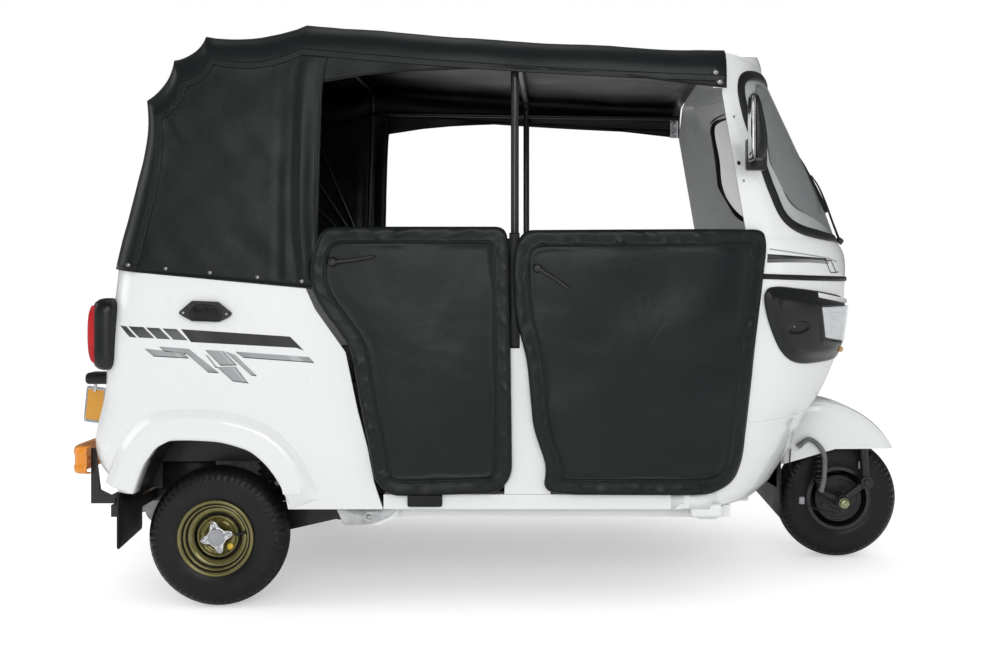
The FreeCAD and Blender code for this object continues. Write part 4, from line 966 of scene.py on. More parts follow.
def make_door(kind, outline, seed, hand, side):
    """Padded vinyl skin of one door with its seam stitches, and its latch: boss, screws and lever."""
    body = kind + "_door_" + hand
    rings = door_points(outline)
    x, z = rings[..., 0], rings[..., 1]
    points = xyz(x, side * (body_width(x, z, DOOR_GAP) + rings[..., 2] + door_relief(rings, seed)), z)
    skin = joined(body + "_skin", [capped(points)], "door_vinyl", body, replaces=(body,))
    out = sideways(side)
    rows = [np.vstack([points[row], points[row, :1]]) + out * 0.4 for row in (11, 17)]
    joined(body + "_skin_stitches", [stitches(row, out, 7.0, 4.4) for row in rows], "thread", body,
           slot="door_vinyl")

    face = BODY_HALF + DOOR_GAP + BOSS_LIFT
    lever = np.array(LATCHES[kind], float)
    centre = np.array((lever[0, 0], side * face, lever[0, 1]))
    boss = [(15, -1), (15, 2), (11, 3.5), (10, 10), (12, 11), (12, 15), (9, 17.5), (0.3, 18)]
    parts = [turned(boss, centre, out, 28)]
    parts += [button(2.4, 1.6, centre + (shift, side * 3.0, 0.5), out, 12) for shift in (-9.5, 9.5)]
    u = np.linspace(0, 1, 40)
    ribs = 0.9 * (u > 0.25) * (1 + 0.35 * np.sin(u * 150))
    radius = 5.2 + 1.2 * np.exp(-((u - 0.16) / 0.05) ** 2) + ribs - 1.6 * u
    radius *= np.sqrt(np.clip((1.004 - u) / 0.02, 0.02, 1))
    line = smooth_path(xyz(lever[:, 0], side * (face + LEVER_LIFT), lever[:, 1]), 40)
    parts.append(tapered(radius, 14, line, out))
    joined(body + "_latch", parts, "black_plastic", body, slot="black_plastic")


# Places on the body's skin

class Skin:
    """Half width of the CAD skin, read on a grid by rays from the side and blended between its points."""

    def __init__(self, node, x_range, z_range, step):
        mesh = frame["nodes"][node].data
        faces = [face.vertices for face in mesh.polygons]
        tree = BVHTree.FromPolygons([vertex.co for vertex in mesh.vertices], faces)
        self.x = np.arange(x_range[0], x_range[1] + step, step)
        self.z = np.arange(z_range[0], z_range[1] + step, step)
        hits = [[tree.ray_cast((x * MM, -1.0, z * MM), (0, 1, 0))[0] for x in self.x] for z in self.z]
        self.y = np.array([[-hit[1] / MM if hit else 0.0 for hit in row] for row in hits])

    def __call__(self, x, z, grow=0.0):
        """Half width at (x, z) plus the lift, by bilinear blending."""
        u = np.clip((x - self.x[0]) / (self.x[1] - self.x[0]), 0, len(self.x) - 1.001)
        v = np.clip((z - self.z[0]) / (self.z[1] - self.z[0]), 0, len(self.z) - 1.001)
        i, j = u.astype(int), v.astype(int)
        u, v = u - i, v - j
        low = self.y[j, i] * (1 - u) + self.y[j, i + 1] * u
        high = self.y[j + 1, i] * (1 - u) + self.y[j + 1, i + 1] * u
        return low * (1 - v) + high * v + grow


SIDE_SKIN = Skin("rear_side_panel_right", (-1180, -560), (660, 850), 10)
NOSE_SKIN = Skin("nose_panel", (716, 1076), (980, 1080), 6)


def film(corners, side, lift, width=SIDE_SKIN):
    """Film on the body's side between four corners (x, z): a bilinear patch on the skin."""
    x, z = np.moveaxis(patch(corners, np.linspace(0, 1, 24)[:, None], np.linspace(0, 1, 4)[None, :]), -1, 0)
    return slab(*[xyz(x, side * width(x, z, grow), z) for grow in (lift, -1.0)])


# Side stripes as corners (x, z): slanted bars, a long band, and chevrons of light film with a dark edge
BAR_TOPS = [(-1151, -1129), (-1122, -1077), (-1069, -1030), (-1021, -979)]
BAR_DROP = 33.0
BAND = [((-966, 828), (-936, 790), (-626, 773), (-645, 806)),
        ((-645, 806), (-626, 773), (-604, 765), (-606, 767))]
CHEVRONS = [
    ((-1073, 771), (-1048, 750), (-944, 744), (-958, 758)),
    ((-1031, 777), (-1013, 762), (-950, 757), (-943, 770)),
    ((-943, 770), (-950, 757), (-888, 703), (-856, 701)),
    ((-895, 767), (-851, 723), (-803, 724), (-840, 763)),
    ((-895, 753), (-866, 717), (-860, 717), (-886, 750)),
    ((-860, 717), (-816, 677), (-769, 671), (-805, 718)),
    ((-836, 763), (-761, 694), (-744, 692), (-806, 752)),
    ((-806, 762), (-783, 746), (-575, 731), (-590, 746)),
]


def make_side_stripes():
    """Printed film along the rear sides, with the long band left plain."""
    for name, side in SIDES:
        bars = []
        for low, high in BAR_TOPS:
            shift = (low + 1151) * 0.06
            tops = [(low, 838 - shift), (high, 836 - shift)]
            feet = [(x + BAR_DROP, z - BAR_DROP) for x, z in tops[::-1]]
            bars.append(film(tops + feet, side, 0.5))
        joined("stripe_bars_" + name, bars, "film_fade", slot="white_paint")
        joined("stripe_band_" + name, [film(quad, side, 0.5) for quad in BAND], "film_black",
               slot="white_paint")
        dark = [film(np.array(quad) + (2.0, -2.6), side, 0.35) for quad in CHEVRONS]
        joined("stripe_edges_" + name, dark, "film_black", slot="white_paint")
        light = [film(quad, side, 0.6) for quad in CHEVRONS]
        joined("stripe_chevrons_" + name, light, "film_silver", slot="white_paint")


# Nose stripes as (x, lower z, upper z), and the outlined end's corners with its tail
NOSE_LINE = [(779, 1063, 1067), (848, 1055, 1059), (923, 1046, 1050), (998, 1037, 1041), (1040, 1026, 1030)]
NOSE_DARK = [(772, 1037, 1050), (832, 1036, 1047), (923, 1035, 1042), (990, 1032, 1038)]
NOSE_GREY = [(771, 1024, 1037), (832, 1025, 1036), (923, 1025, 1035), (1000, 1020, 1032)]
NOSE_FRAME = np.array([(984, 1034), (1012, 1031), (1038, 993), (1010, 994)], float)
NOSE_TAIL = [(1036, 993), (1052, 993), (1050, 997), (1034, 997)]
# Rubbing strip: reach to each side in degrees, height at the tip, rise toward its ends
RUBBING_REACH = 66
RUBBING_Z = 971
RUBBING_RISE = 12


def make_nose_stripes():
    """Thin line, dark and fading bands and the outlined end on both sides of the nose."""
    for name, side in SIDES:
        parts = {}
        runs = {"film_silver": NOSE_LINE, "film_black": NOSE_DARK, "film_fade_nose": NOSE_GREY}
        for kind, run in runs.items():
            quads = [[(x0, low0), (x1, low1), (x1, high1), (x0, high0)]
                     for (x0, low0, high0), (x1, low1, high1) in zip(run, run[1:])]
            parts[kind] = [film(quad, side, 0.8, NOSE_SKIN) for quad in quads]
        for first, second in zip(NOSE_FRAME, np.roll(NOSE_FRAME, -1, axis=0)):
            along = unit(second - first)
            across = np.array((-along[1], along[0])) * 1.7
            edge = [first - across, second - across, second + across, first + across]
            parts["film_black"].append(film(edge, side, 1.1, NOSE_SKIN))
        parts["film_black"].append(film(NOSE_TAIL, side, 1.0, NOSE_SKIN))
        for kind, made in parts.items():
            joined("nose_" + kind + "_" + name, made, kind, slot="white_paint")


def nose_point(angle, z, nose, grow=0.0):
    """Point on the nose at an angle round its half-ellipse, 0 at the tip and 90 degrees at the left side."""
    x = NOSE_START + (nose + grow - NOSE_START) * np.cos(angle)
    return xyz(x, (BODY_HALF + grow) * np.sin(angle), z)


def make_rubbing_strip():
    """Rubber strip round the nose, half round, ending short of the front doors."""
    angle = np.radians(np.linspace(-RUBBING_REACH, RUBBING_REACH, 160))
    z = RUBBING_Z + RUBBING_RISE * (np.abs(np.degrees(angle)) / RUBBING_REACH) ** 2
    profile = [(-8, -1), (8, -1), (8, 2), (5.5, 5), (0, 6.5), (-5.5, 5), (-8, 2)]
    rubber = carried(profile, nose_point(angle, z, nose_reach(z)), xyz(np.cos(angle), np.sin(angle), 0))
    joined("nose_rubbing_strip", [rubber], "black_rubber", slot="black_rubber")


# Wheels

TYRE_HALF = 54.0
TYRE_STEPS = 336
BEAD = 102.0
FRONT_AXLE = np.array((1115.5, 0.0, 208.5))
REAR_AXLE = (-869.5, 575.0, 208.5)
TYRE_SECTION = [
    (BEAD, 43.5), (108, 46.5), (114, 47), (122, 49.5), (135, 52.5), (150, 53.8), (165, 53.8), (178, 52.0),
    (189, 47), (197, 38.5), (203, 28), (206.5, 15), (208.5, 0),
]
# Tread: places, half width and depth of the grooves; depths of the slots and of the shoulder groove
GROOVES = (-17.0, 0.0, 17.0)
GROOVE_HALF = 2.3
GROOVE_DEPTH = 5.0
SLOT_DEPTH = 3.4
SHOULDER_DEPTH = 3.0
# Rings on the sidewall: radius and half width
SIDEWALL_RINGS = [(124, 1.0), (129.5, 0.8), (157, 0.9), (176, 1.2)]


def tread_depth(offset, radius, angle):
    """Groove depth: three zigzag grooves round the crown and short slots across both shoulders."""
    zigzag = 2.6 * np.abs(((angle * 42 / math.pi) % 2) - 1) - 1.3
    grooves = [GROOVE_DEPTH * (np.abs(offset - centre - zigzag) < GROOVE_HALF) for centre in GROOVES]
    outer = (np.abs(offset) > 27) & (radius > 176)
    slots = SLOT_DEPTH * (((angle * 60 / math.pi) % 2) < 0.62) * outer
    shoulder = SHOULDER_DEPTH * (np.abs(np.abs(offset) - 26.5) < 1.3) * (radius > 190) + 0 * angle
    return np.maximum.reduce(grooves + [slots, shoulder])


def wheel_point(centre, angle, radius, offset):
    """Point at a radius and an angle round a wheel's axle, moved along it by the offset."""
    return xyz(centre[0] + radius * np.cos(angle), centre[1] + offset, centre[2] + radius * np.sin(angle))


def make_tyre(name, centre, body):
    """Tyre as a grid round its section from bead to crown, with the tread cut inward."""
    radius, offset = smooth_path(TYRE_SECTION, 48).T
    rings = 0.9 * sum(np.exp(-((radius - place) / half) ** 2) for place, half in SIDEWALL_RINGS)
    half = np.stack([radius, np.minimum(offset + rings, TYRE_HALF)], axis=1)
    section = np.vstack([half, half[-2::-1] * (1, -1)])
    angle = np.linspace(0, 2 * math.pi, TYRE_STEPS, endpoint=False)
    radius, offset = section[:, :1], section[:, 1:]
    depth = tread_depth(offset, radius, angle[None])
    steep = np.clip((np.abs(offset) - 30) / 24, 0, 1)
    reach = np.vstack([radius - depth * (1 - 0.6 * steep), np.full(TYRE_STEPS, BEAD + 3)])
    offset = np.vstack([offset - np.sign(offset) * depth * 0.7 * steep, np.zeros(TYRE_STEPS)])
    joined(name, [looped(wheel_point(centre, angle, reach, offset))], "tyre_rubber", body, replaces=(name,))


# Hub cover's rings: share of the lobed outline (of a plain circle below 0.62) and height
STAR_RINGS = [
    (1.00, 24.5), (1.00, 37.5), (0.975, 39.2), (0.93, 39.8), (0.80, 39.9), (0.66, 38.9), (0.60, 40.4),
    (0.585, 41.6), (0.55, 42.0), (0.30, 42.1), (0.02, 42.1),
]
STAR_TURN = 14


def star_part(centre, side):
    """Hub cover with four lobes: radius 29 + 21 cos^4 of four half turns, domed toward its flat middle."""
    angle = np.linspace(0, 2 * math.pi, 200, endpoint=False)
    lobe = 29 + 21 * np.cos(2 * (angle - math.radians(STAR_TURN))) ** 4
    return capped(np.array([wheel_point(centre, angle, (lobe if share > 0.62 else 40) * share, side * height)
                            for share, height in STAR_RINGS]))


def bead_part(centre, axis, radius, offset, width, height):
    """Round bead on a turned face: a half circle of given width and height at a radius."""
    angle = np.linspace(0, math.pi, 9)
    bead = np.stack([radius + width / 2 * np.cos(angle), offset + height * np.sin(angle)], axis=1)
    start, end = (radius + width / 2, offset - 1.0), (radius - width / 2, offset - 1.0)
    return turned(np.vstack([start, bead, end]), centre, axis, 96, ring=True)


# Rear rim's section as (radius, offset): barrel, rolled lip, two steps, groove, raised ring, dished hub face
RIM_SECTION = [
    (10.2, -40), (76, -40), (76, -6), (98, -6), (98, -50), (112, -50), (112, -47), (102, -44), (102, 44),
    (110.5, 46), (113.2, 49), (112.6, 52), (109.5, 53.2), (105, 52.2), (102.4, 49), (101.2, 43),
    (99.6, 40.6), (98.4, 42.6), (96.4, 44), (93.4, 43.4), (91.6, 40), (90.2, 33), (88.6, 30), (87.4, 31.6),
    (85.4, 33), (80, 31), (74.6, 27), (70.8, 21), (68.6, 12), (66.4, 9), (64.4, 11), (63, 18),
    (61.8, 24.6), (59.4, 27.6), (56.6, 26.6), (54.8, 22), (52.4, 18.6), (48, 17.6), (10.2, 17.6),
]
RIM_FACE = np.array(RIM_SECTION[13:], float)[::-1]
# Radii of the rim's grooves, each lined with a dark ring of painted shade
RIM_GROOVES = [(97.4, 102.2), (87.2, 91.4), (62.6, 71.4)]
HEX_BOLT = [(5.6, 38), (5.6, 44), (4.2, 45.5), (0.1, 45.5)]
BOLT_WASHER = [(7.4, 38), (7.4, 40.6), (6.0, 41.0), (0.1, 41.0)]
HUB_CAP = [(24.5, 41), (24.5, 43.2), (22.5, 44.2), (0.1, 44.6)]
PAINT_MARK = [(10.5, 17), (10.5, 21), (8.5, 22.5), (0.1, 22.5)]


def groove_shade_part(low, high, centre, axis):
    """Painted shade in one groove: a dark lining, the rim's section between two radii, 0.3 mm proud of it."""
    radius = np.linspace(low, high, 14)
    offset = np.interp(radius, RIM_FACE[:, 0], RIM_FACE[:, 1])
    face, back = np.column_stack([radius, offset + 0.3]), np.column_stack([radius, offset - 0.2])
    section = np.vstack([face, back[::-1]])
    return turned(section, centre, axis, 72, ring=True)


def arc_part(centre, side, turn):
    """Raised pad on the hub face: a round bar along an arc that starts past a turn."""
    angle = np.linspace(math.radians(turn + 24), math.radians(turn + 66), 24)
    size = 6.5 * np.sqrt(np.clip(1 - np.linspace(-1, 1, 24) ** 6, 0.02, 1))
    return tapered(size, 12, wheel_point(centre, angle, 44, side * 16.5), sideways(side))


def make_rear_wheel(hand, side):
    """Tyre, stepped rim, dark linings of painted shade in its grooves, hub star with bolts and cap, valve and
    paint mark of one rear wheel.
    """
    centre = np.array(REAR_AXLE) * (1, side, 1)
    body = "rear_wheel_" + hand
    axis = sideways(side)
    make_tyre("rear_tyre_" + hand, centre, body)
    rim = [turned(RIM_SECTION, centre, axis, 120, ring=True)]
    rim += [arc_part(centre, side, STAR_TURN + turn) for turn in (0, 90, 180)]
    joined("rear_rim_pressing_" + hand, rim, "rim_olive", body, replaces=("rear_rim_" + hand,))
    # Painted shade: dark linings laid into the rim's grooves
    grooves = [groove_shade_part(low, high, centre, axis) for low, high in RIM_GROOVES]
    joined("rear_rim_shade_linings_" + hand, grooves, "rim_groove_shade", body, slot="rim_olive")
    hub = [star_part(centre, side)]
    for quarter in range(4):
        place = wheel_point(centre, math.radians(STAR_TURN + 90 * quarter), 38, 0)
        hub += [turned(HEX_BOLT, place, axis, 6), turned(BOLT_WASHER, place, axis, 24)]
    joined("rear_hub_star_" + hand, hub, "polished_alloy", body, slot="grey_castings")
    joined("rear_hub_cap_" + hand, [turned(HUB_CAP, centre, axis, 48)], "cap_grey", body,
           slot="grey_castings")
    foot = centre + (88, side * 29, 16)
    course = ((0, 0, 0), (-3, 8, -1), (-16, 14, -4), (-30, 15, -7))
    stem = smooth_path([foot + (x, side * y, z) for x, y, z in course], 24)
    radius = np.interp(np.linspace(0, 1, 24), [0, 0.2, 0.25, 0.7, 0.72, 1], [6.5, 6.0, 4.2, 4.0, 4.6, 4.4])
    joined("rear_valve_" + hand, [tapered(radius, 12, stem, axis)], "black_rubber", body, slot="black_rubber")
    mark = turned(PAINT_MARK, centre + (36, 0, -31), axis, 8)
    joined("rear_rim_mark_" + hand, [mark], "mark_yellow", body, slot="rim_olive")


def helix_part(low, high, radius, wire, turns, samples=26):
    """Coil: wire carried along a helix whose ends lie flat."""
    axis = unit(high - low)
    across = unit(np.cross(axis, (0.0, 1.0, 0.0)))
    t = np.linspace(0, 1, turns * samples)
    angle = 2 * math.pi * turns * t[:, None]
    length = np.linalg.norm(high - low)
    climb = np.interp(t, [0, 0.7 / turns, 1 - 0.7 / turns, 1],
                      [wire, 2.2 * wire, length - 2.2 * wire, length - wire])
    round_axis = np.cos(angle) * across + np.sin(angle) * np.cross(axis, across)
    path = low + climb[:, None] * axis + radius * round_axis
    return carried(circle(wire, 10), path, axis)


DAMPER_FOOT = np.array((1040.5, -88.0, 256.6))
DAMPER_HEAD = np.array((1043.5, -84.0, 444.0))
HOSE_ROUTE = [
    (960, -121.3, 400), (1000, -128, 425), (1045, -130, 380), (1048, -128, 300), (1042, -109.1, 246),
]
CABLE_ROUTE = [
    (935, -121, 392), (932, -127, 338), (944, -130, 277), (971, -130, 216), (1020, -130, 189),
    (1082, -118, 176),
]


def make_front_spring():
    """Coil spring round its damper, with round end stubs and spring seats."""
    axis = unit(DAMPER_HEAD - DAMPER_FOOT)
    length = np.linalg.norm(DAMPER_HEAD - DAMPER_FOOT)
    damper = [(0.1, 0), (9, 0), (9, 16), (20.5, 17), (20.5, 21), (11, 22), (11, length * 0.55)]
    damper += [(6, length * 0.56), (6, length - 24), (20.5, length - 21), (20.5, length - 17)]
    damper += [(9, length - 15), (9, length), (0.1, length)]
    coil = helix_part(DAMPER_FOOT + axis * 22, DAMPER_HEAD - axis * 20, 17.3, 3.6, 9)
    parts = [turned(damper, DAMPER_FOOT, axis, 32), coil]
    joined("front_spring_and_damper", parts, "satin_black", "steering", replaces=("front_spring",))


def make_front_hose():
    """Corrugated hose to the brake plate with clamped ends, the thin brake cable and its tags."""
    u = np.linspace(0, 1, 420)
    radius = np.where((u < 0.05) | (u > 0.97), 9.8, 8.2 + 0.9 * np.sin(u * 2 * math.pi * 70))
    hose = tapered(radius, 16, smooth_path(HOSE_ROUTE, 420), (0, 1, 0))
    joined("front_brake_hose", [hose], "grey_conduit", "steering", replaces=("front_hose",))
    cable = carried(circle(2.3, 8), smooth_path(CABLE_ROUTE, 80), (0, 1, 0))
    joined("front_brake_cable", [cable], "black_rubber", "steering", slot="grey_conduit")
    tags = [block(1, (962, -136, 206), (980, -124, 230), 2.5),
            block(1, (1178, -82, 316), (1190, -72, 342), 2.5)]
    joined("front_cable_tags", tags, "cap_grey", "steering", slot="grey_conduit")


def make_front_wheel():
    """Tyre, rim beads, brake plate webs, axle nut and link bolt of the front wheel."""
    make_tyre("front_tyre", FRONT_AXLE, "front_wheel")
    axis = sideways(-1)
    beads = [bead_part(FRONT_AXLE, axis, 110, 49.3, 4.0, 2.0)]
    beads += [bead_part(FRONT_AXLE, sideways(way), 104, 46, 3.0, 2.0) for way in (-1, 1)]
    joined("front_rim_beads", beads, "rim_black", "front_wheel", slot="rim_black")
    webs = [bead_part(FRONT_AXLE, axis, radius, 46.0, 3.5, 2.4) for radius in (76, 66, 40)]
    for index in range(6):
        place = wheel_point(FRONT_AXLE, math.radians(20 + 60 * index), 57, 0)
        webs.append(turned([(6, 45), (6, 50), (4.5, 51), (0.1, 51)], place, axis, 6))
    joined("front_brake_plate_webs", webs, "satin_black", "steering", slot="black_steel")
    nut = [turned([(15, 132), (15, 143), (12, 145), (8, 145), (8, 151), (0.1, 151)], FRONT_AXLE, axis, 6),
           turned([(18, 130), (18, 133), (0.1, 133)], FRONT_AXLE, axis, 32)]
    joined("front_axle_nut", nut, "passivated_zinc", "steering", slot="grey_castings")
    bolt = turned([(12, 108), (12, 114), (9, 116), (0.1, 116)], FRONT_AXLE + (85, 0, 65), axis, 6)
    joined("front_link_bolt", [bolt], "satin_black", "steering", slot="black_steel")


# Lamps, mirrors and wiper

HEADLAMP = [(756, 925), (780, 957), (950, 938), (1092, 912), (1092, 711), (872, 711), (814, 752), (774, 842)]
HEADLAMP_INSETS = [0, 0.6, 1.5, 3, 5, 7.5, 10, 14, 18, 22, 27, 32, 37, 42, 48, 54, 60, 66, 72]
LAMP_WINDOW = [(952, 889), (1072, 889), (1062, 772), (970, 790)]
LAMP_GLASS = [(972, 792), (1061, 774), (1071, 888), (953, 888)]
MARKER = [(0.1, -4), (9, -4), (9, 5), (7.5, 9), (4, 11.5), (0.1, 12)]
# Heights of the lamp over the body: floor of its window, reflector, lens
WINDOW_FLOOR = 34
REFLECTOR_LIFT = 36.2
LENS_LIFT = 45.5


def smooth_step(value, low, high):
    """0 below low, 1 above high, and 3t^2 - 2t^3 between."""
    t = np.clip((value - low) / (high - low), 0, 1)
    return t * t * (3 - 2 * t)


def inside_distance(x, z, outline):
    """Signed distance to an outline's nearest edge line, positive inside a convex outline."""
    outline = np.asarray(outline, float)
    area = np.sum(outline[:, 0] * np.roll(outline[:, 1], -1) - np.roll(outline[:, 0], -1) * outline[:, 1])
    nearest = np.full(np.broadcast(x, z).shape, np.inf)
    for first, second in zip(outline, np.roll(outline, -1, axis=0)):
        along = unit(second - first) * np.sign(area)
        nearest = np.minimum(nearest, along[0] * (z - first[1]) - along[1] * (x - first[0]))
    return nearest


def lamp_height(x, z, edge):
    """Height of the lamp's moulding: rolled lip, full swell, frame round the window and the screw's eye."""
    lip = 12 * np.sqrt(1 - (1 - np.clip(edge / 10, 0, 1)) ** 2)
    swell = 24 * smooth_step(edge, 6, 46) + 6 * smooth_step(x, 800, 1000)
    window = inside_distance(x, z, LAMP_WINDOW)
    rim = 5 * smooth_step(window, -20, -8) * smooth_step(edge, 2, 14)
    eye_line = np.hypot((x - 872) / 36, (z - 829 - 0.12 * (x - 872)) / 17)
    height = lip + swell + rim - 6.0 * smooth_step(1.15 - eye_line, 0, 0.3)
    return height - smooth_step(window, -1, 3) * np.maximum(height - WINDOW_FLOOR, 0)


def on_nose(x, z, height, side):
    """Point over the nose at (x, z), on the body's outline grown by the height."""
    return xyz(x, side * body_width(x, z, height), z)


def nose_slab(x, z, top, base, side):
    """Slab over the nose between two heights."""
    return slab(on_nose(x, z, top, side), on_nose(x, z, base, side))


def headlamp_shell(side):
    """Headlamp moulding: rounded outlines drawn in step by step toward the middle, closed behind."""
    rings = [rounded_outline(drawn_in(HEADLAMP, inset), 60, 240) for inset in HEADLAMP_INSETS]
    centre = rings[-1].mean(axis=0)
    rings += [centre + (rings[-1] - centre) * share for share in np.linspace(0.98, 0.02, 48)]
    x, z = np.moveaxis(np.array(rings), -1, 0)
    x = np.minimum(x, 1086)
    edge = np.array(HEADLAMP_INSETS + [75] * 48, float)[:, None]
    back = on_nose(x[:1], z[:1], 1.0, side)
    centre = back.mean(axis=1, keepdims=True)
    face = on_nose(x, z, lamp_height(x, z, edge), side)
    return capped(np.concatenate([centre + (back - centre) * 0.9, back, face]))


def make_headlamp(name, side):
    """Stepped reflector, domed lens, painted brow, screw and marker lamp of one headlamp."""
    u = np.linspace(0, 1, 60)[:, None]
    v = np.linspace(0, 1, 40)[None, :]
    x, z = np.moveaxis(patch(LAMP_GLASS, u, v), -1, 0)
    steps = 1.4 * (((v * 5) % 1) * (u > 0.25) * (u < 0.8)) + 2.2 * smooth_step(np.abs(u - 0.52), 0.24, 0.32)
    reflector = nose_slab(x, z, REFLECTOR_LIFT + steps, REFLECTOR_LIFT - 2, side)
    joined("headlamp_reflector_" + name, [reflector], "mirror_metal", slot="clear_lens")
    brow_x = np.linspace(948, 1084, 60)[:, None] + 0 * v
    brow_z = 936 - (brow_x - 950) * 0.18 - 19 + 15 * v
    top = lamp_height(brow_x, brow_z, inside_distance(brow_x, brow_z, HEADLAMP)) + 1.2
    brow = nose_slab(brow_x, brow_z, top, top - 6, side)
    joined("headlamp_brow_" + name, [brow], "white_enamel", slot="white_paint")
    swell = LENS_LIFT + 2.5 * (4 * u * (1 - u)) * (4 * v * (1 - v))
    kept = {"replaces": ("headlamp_lenses",)} if side > 0 else {"slot": "clear_lens"}
    joined("headlamp_lens_" + name, [nose_slab(x, z, swell, swell - 2.5, side)], "clear_lens", **kept)
    screw = button(4.6, 2.6, on_nose(855.0, 832.0, 29.5, side), (0.35, side, 0), 20)
    joined("headlamp_screw_" + name, [screw], "stud_metal", slot="dark_steel")
    marker = turned(MARKER, on_nose(1054.0, 746.0, 29.0, side), (0.75, side * 0.66, 0), 28)
    joined("headlamp_marker_" + name, [marker], "amber_lens", slot="clear_lens")


def make_headlamps():
    """Both headlamps; the left moulding and lens replace the solids of both sides."""
    joined("headlamp_moulding_left", [headlamp_shell(1)], "satin_plastic", replaces=("headlamp_housings",))
    joined("headlamp_moulding_right", [headlamp_shell(-1)], "satin_plastic", slot="black_plastic")
    for name, side in SIDES:
        make_headlamp(name, side)


def tail_lens(centre, half, bulge, side):
    """Lens bulging toward the rear: bulge times the root of (1 - v^8)(1 - |w|^2.6) over its face."""
    v, w = np.meshgrid(np.linspace(-1, 1, 28), np.linspace(-1, 1, 40), indexing="ij")
    depth = bulge * np.sqrt((1 - v**8) * (1 - np.abs(w) ** 2.6))
    y, z = side * (centre[1] + half[0] * v), centre[2] + half[1] * w
    return slab(xyz(centre[0] - depth, y, z), xyz(centre[0] + 8, y, z))


def make_tail_lamps():
    """Tail lamps: rounded housings and red lenses that bulge to the rear."""
    shells = [block(side, (-1240, 530, 703), (-1166, 632, 918), 30) for name, side in SIDES]
    joined("tail_lamp_shells", shells, "satin_plastic", replaces=("tail_lamps",))
    lenses = [tail_lens((-1234, 581, 813), (45, 84), 19, side) for name, side in SIDES]
    joined("tail_lamp_lenses", lenses, "red_lens", slot="red_lens")


# Mirrors: middle, half width and half height, place of the glass and front of the head
MIRROR_Y = 707.5
MIRROR_Z = 1414
MIRROR_HALF = (52.5, 96)
MIRROR_BACK_X = 702
MIRROR_FRONT_X = 742


def make_mirror_glass(name, side):
    """Mirror glass and bright bezel on the back of a mirror head."""
    y, z = rounded_outline(rectangle(*MIRROR_HALF, MIRROR_Y, MIRROR_Z), 26, 120).T
    line = xyz(MIRROR_BACK_X, side * (MIRROR_Y + (y - MIRROR_Y) * 0.985), z)
    bezel = carried(circle(2.6, 10), line, (1, 0, 0), closed=True)
    joined("mirror_bezel_" + name, [bezel], "stud_metal", slot="dark_steel")
    glass = rectangle(MIRROR_HALF[0] - 8, MIRROR_HALF[1] - 8, MIRROR_Y, MIRROR_Z)
    y, z = rounded_outline(glass, 22, 120).T
    face = xyz(MIRROR_BACK_X - 3.4, side * y, z)
    rings = [around.mean(axis=0) + (around - around.mean(axis=0)) * share
             for around, share in ((face + (3, 0, 0), 0.02), (face + (3, 0, 0), 1), (face, 1), (face, 0.02))]
    joined("mirror_glass_" + name, [capped(np.array(rings))], "mirror_metal", slot="clear_glass")


def mirror_head(side):
    """Tapered mirror housing: rounded sections stacked upward, deepest a third of the way up."""
    t = np.linspace(0, 1, 26)
    half = MIRROR_HALF[0] * np.sqrt(np.clip(1 - (np.abs(2 * t - 1)) ** 8, 0.02, 1))
    above, below = np.clip((t - 0.3) / 0.7, 0, 1), np.clip((0.3 - t) / 0.3, 0, 1)
    front = MIRROR_FRONT_X - 26 * above**1.4 - 8 * below**2
    rings = []
    for z, ahead, wide in zip(MIRROR_Z + MIRROR_HALF[1] * (2 * t - 1), front, half):
        corners = [(MIRROR_BACK_X, -wide), (ahead, -wide * 0.86), (ahead, wide * 0.86), (MIRROR_BACK_X, wide)]
        loop = rounded_outline(np.array(corners) + (0, MIRROR_Y), 17, 64)
        rings.append(xyz(loop[:, 0], side * loop[:, 1], z))
    return capped(np.array(rings))


def make_mirror_heads():
    """Housings, stems and pillar blocks of both mirrors."""
    parts = []
    for name, side in SIDES:
        stem = smooth_path([(735, side * 625, 1368), (738, side * 650, 1378), (730, side * 690, 1392)], 20)
        parts += [mirror_head(side), block(side, (699, 604, 1296), (759, 646, 1390), 7),
                  carried(circle(8.5, 14), stem)]
    joined("mirror_housings", parts, "satin_plastic", replaces=("mirrors",))


WIPER_ARM = [(1117, -60, 1104), (1088, -82, 1165), (1056, -112, 1232), (1022, -155, 1284), (990, -192, 1316)]
WIPER_BLADE = [(1020, -290, 1190), (1004, -245, 1250), (985, -193, 1312), (966, -146, 1368), (946, -98, 1412)]


def make_wiper():
    """Wiper: tapered flat arm, pivot cap and rubber blade with its holder."""
    width = np.interp(np.linspace(0, 1, 60), [0, 0.2, 1], [7.5, 6.5, 4.5])
    flat = circle(1.0, 12)[None] * width[:, None, None] * (1, 0.55)
    up = (0.8, 0, 0.5)
    holder = smooth_path(WIPER_BLADE, 60)
    cap = [(0.1, -6), (13, -6), (13, 8), (10, 12), (0.1, 13)]
    parts = [carried(flat, smooth_path(WIPER_ARM, 60), up), carried(strip(7, 4.5), holder, up),
             carried(strip(3, 9, lift=-9), holder, up),
             turned(cap, (1116, -60, 1100), (0.6, 0, 0.8), 24)]
    joined("wiper_arm_and_blade", parts, "satin_black", replaces=("wiper",))


def make_screen_trim():
    """Round screws and knobs along both windscreen pillars."""
    screws = {"pillar_screws": ("stud_metal", "dark_steel", [(669, 1460, 4.5), (697, 1268, 4.5)]),
              "pillar_knobs": ("black_rubber", "black_rubber", [(682, 1321, 6.5)])}
    for name, (material, slot, places) in screws.items():
        heads = [button(radius, radius * 0.55, (x, side * float(body_width(x, z, levels=SCREEN_LEVELS)), z),
                        (0.05, side, 0), 16) for hand, side in SIDES for x, z, radius in places]
        joined(name, heads, material, slot=slot)


# Number plate: turn to the corner, tip, half its side, centre
PLATE_TURN = math.radians(52)
PLATE_TIP = math.radians(6)
PLATE_HALF = 54.0
PLATE_CENTRE = np.array((-1288, -470, 585.0))


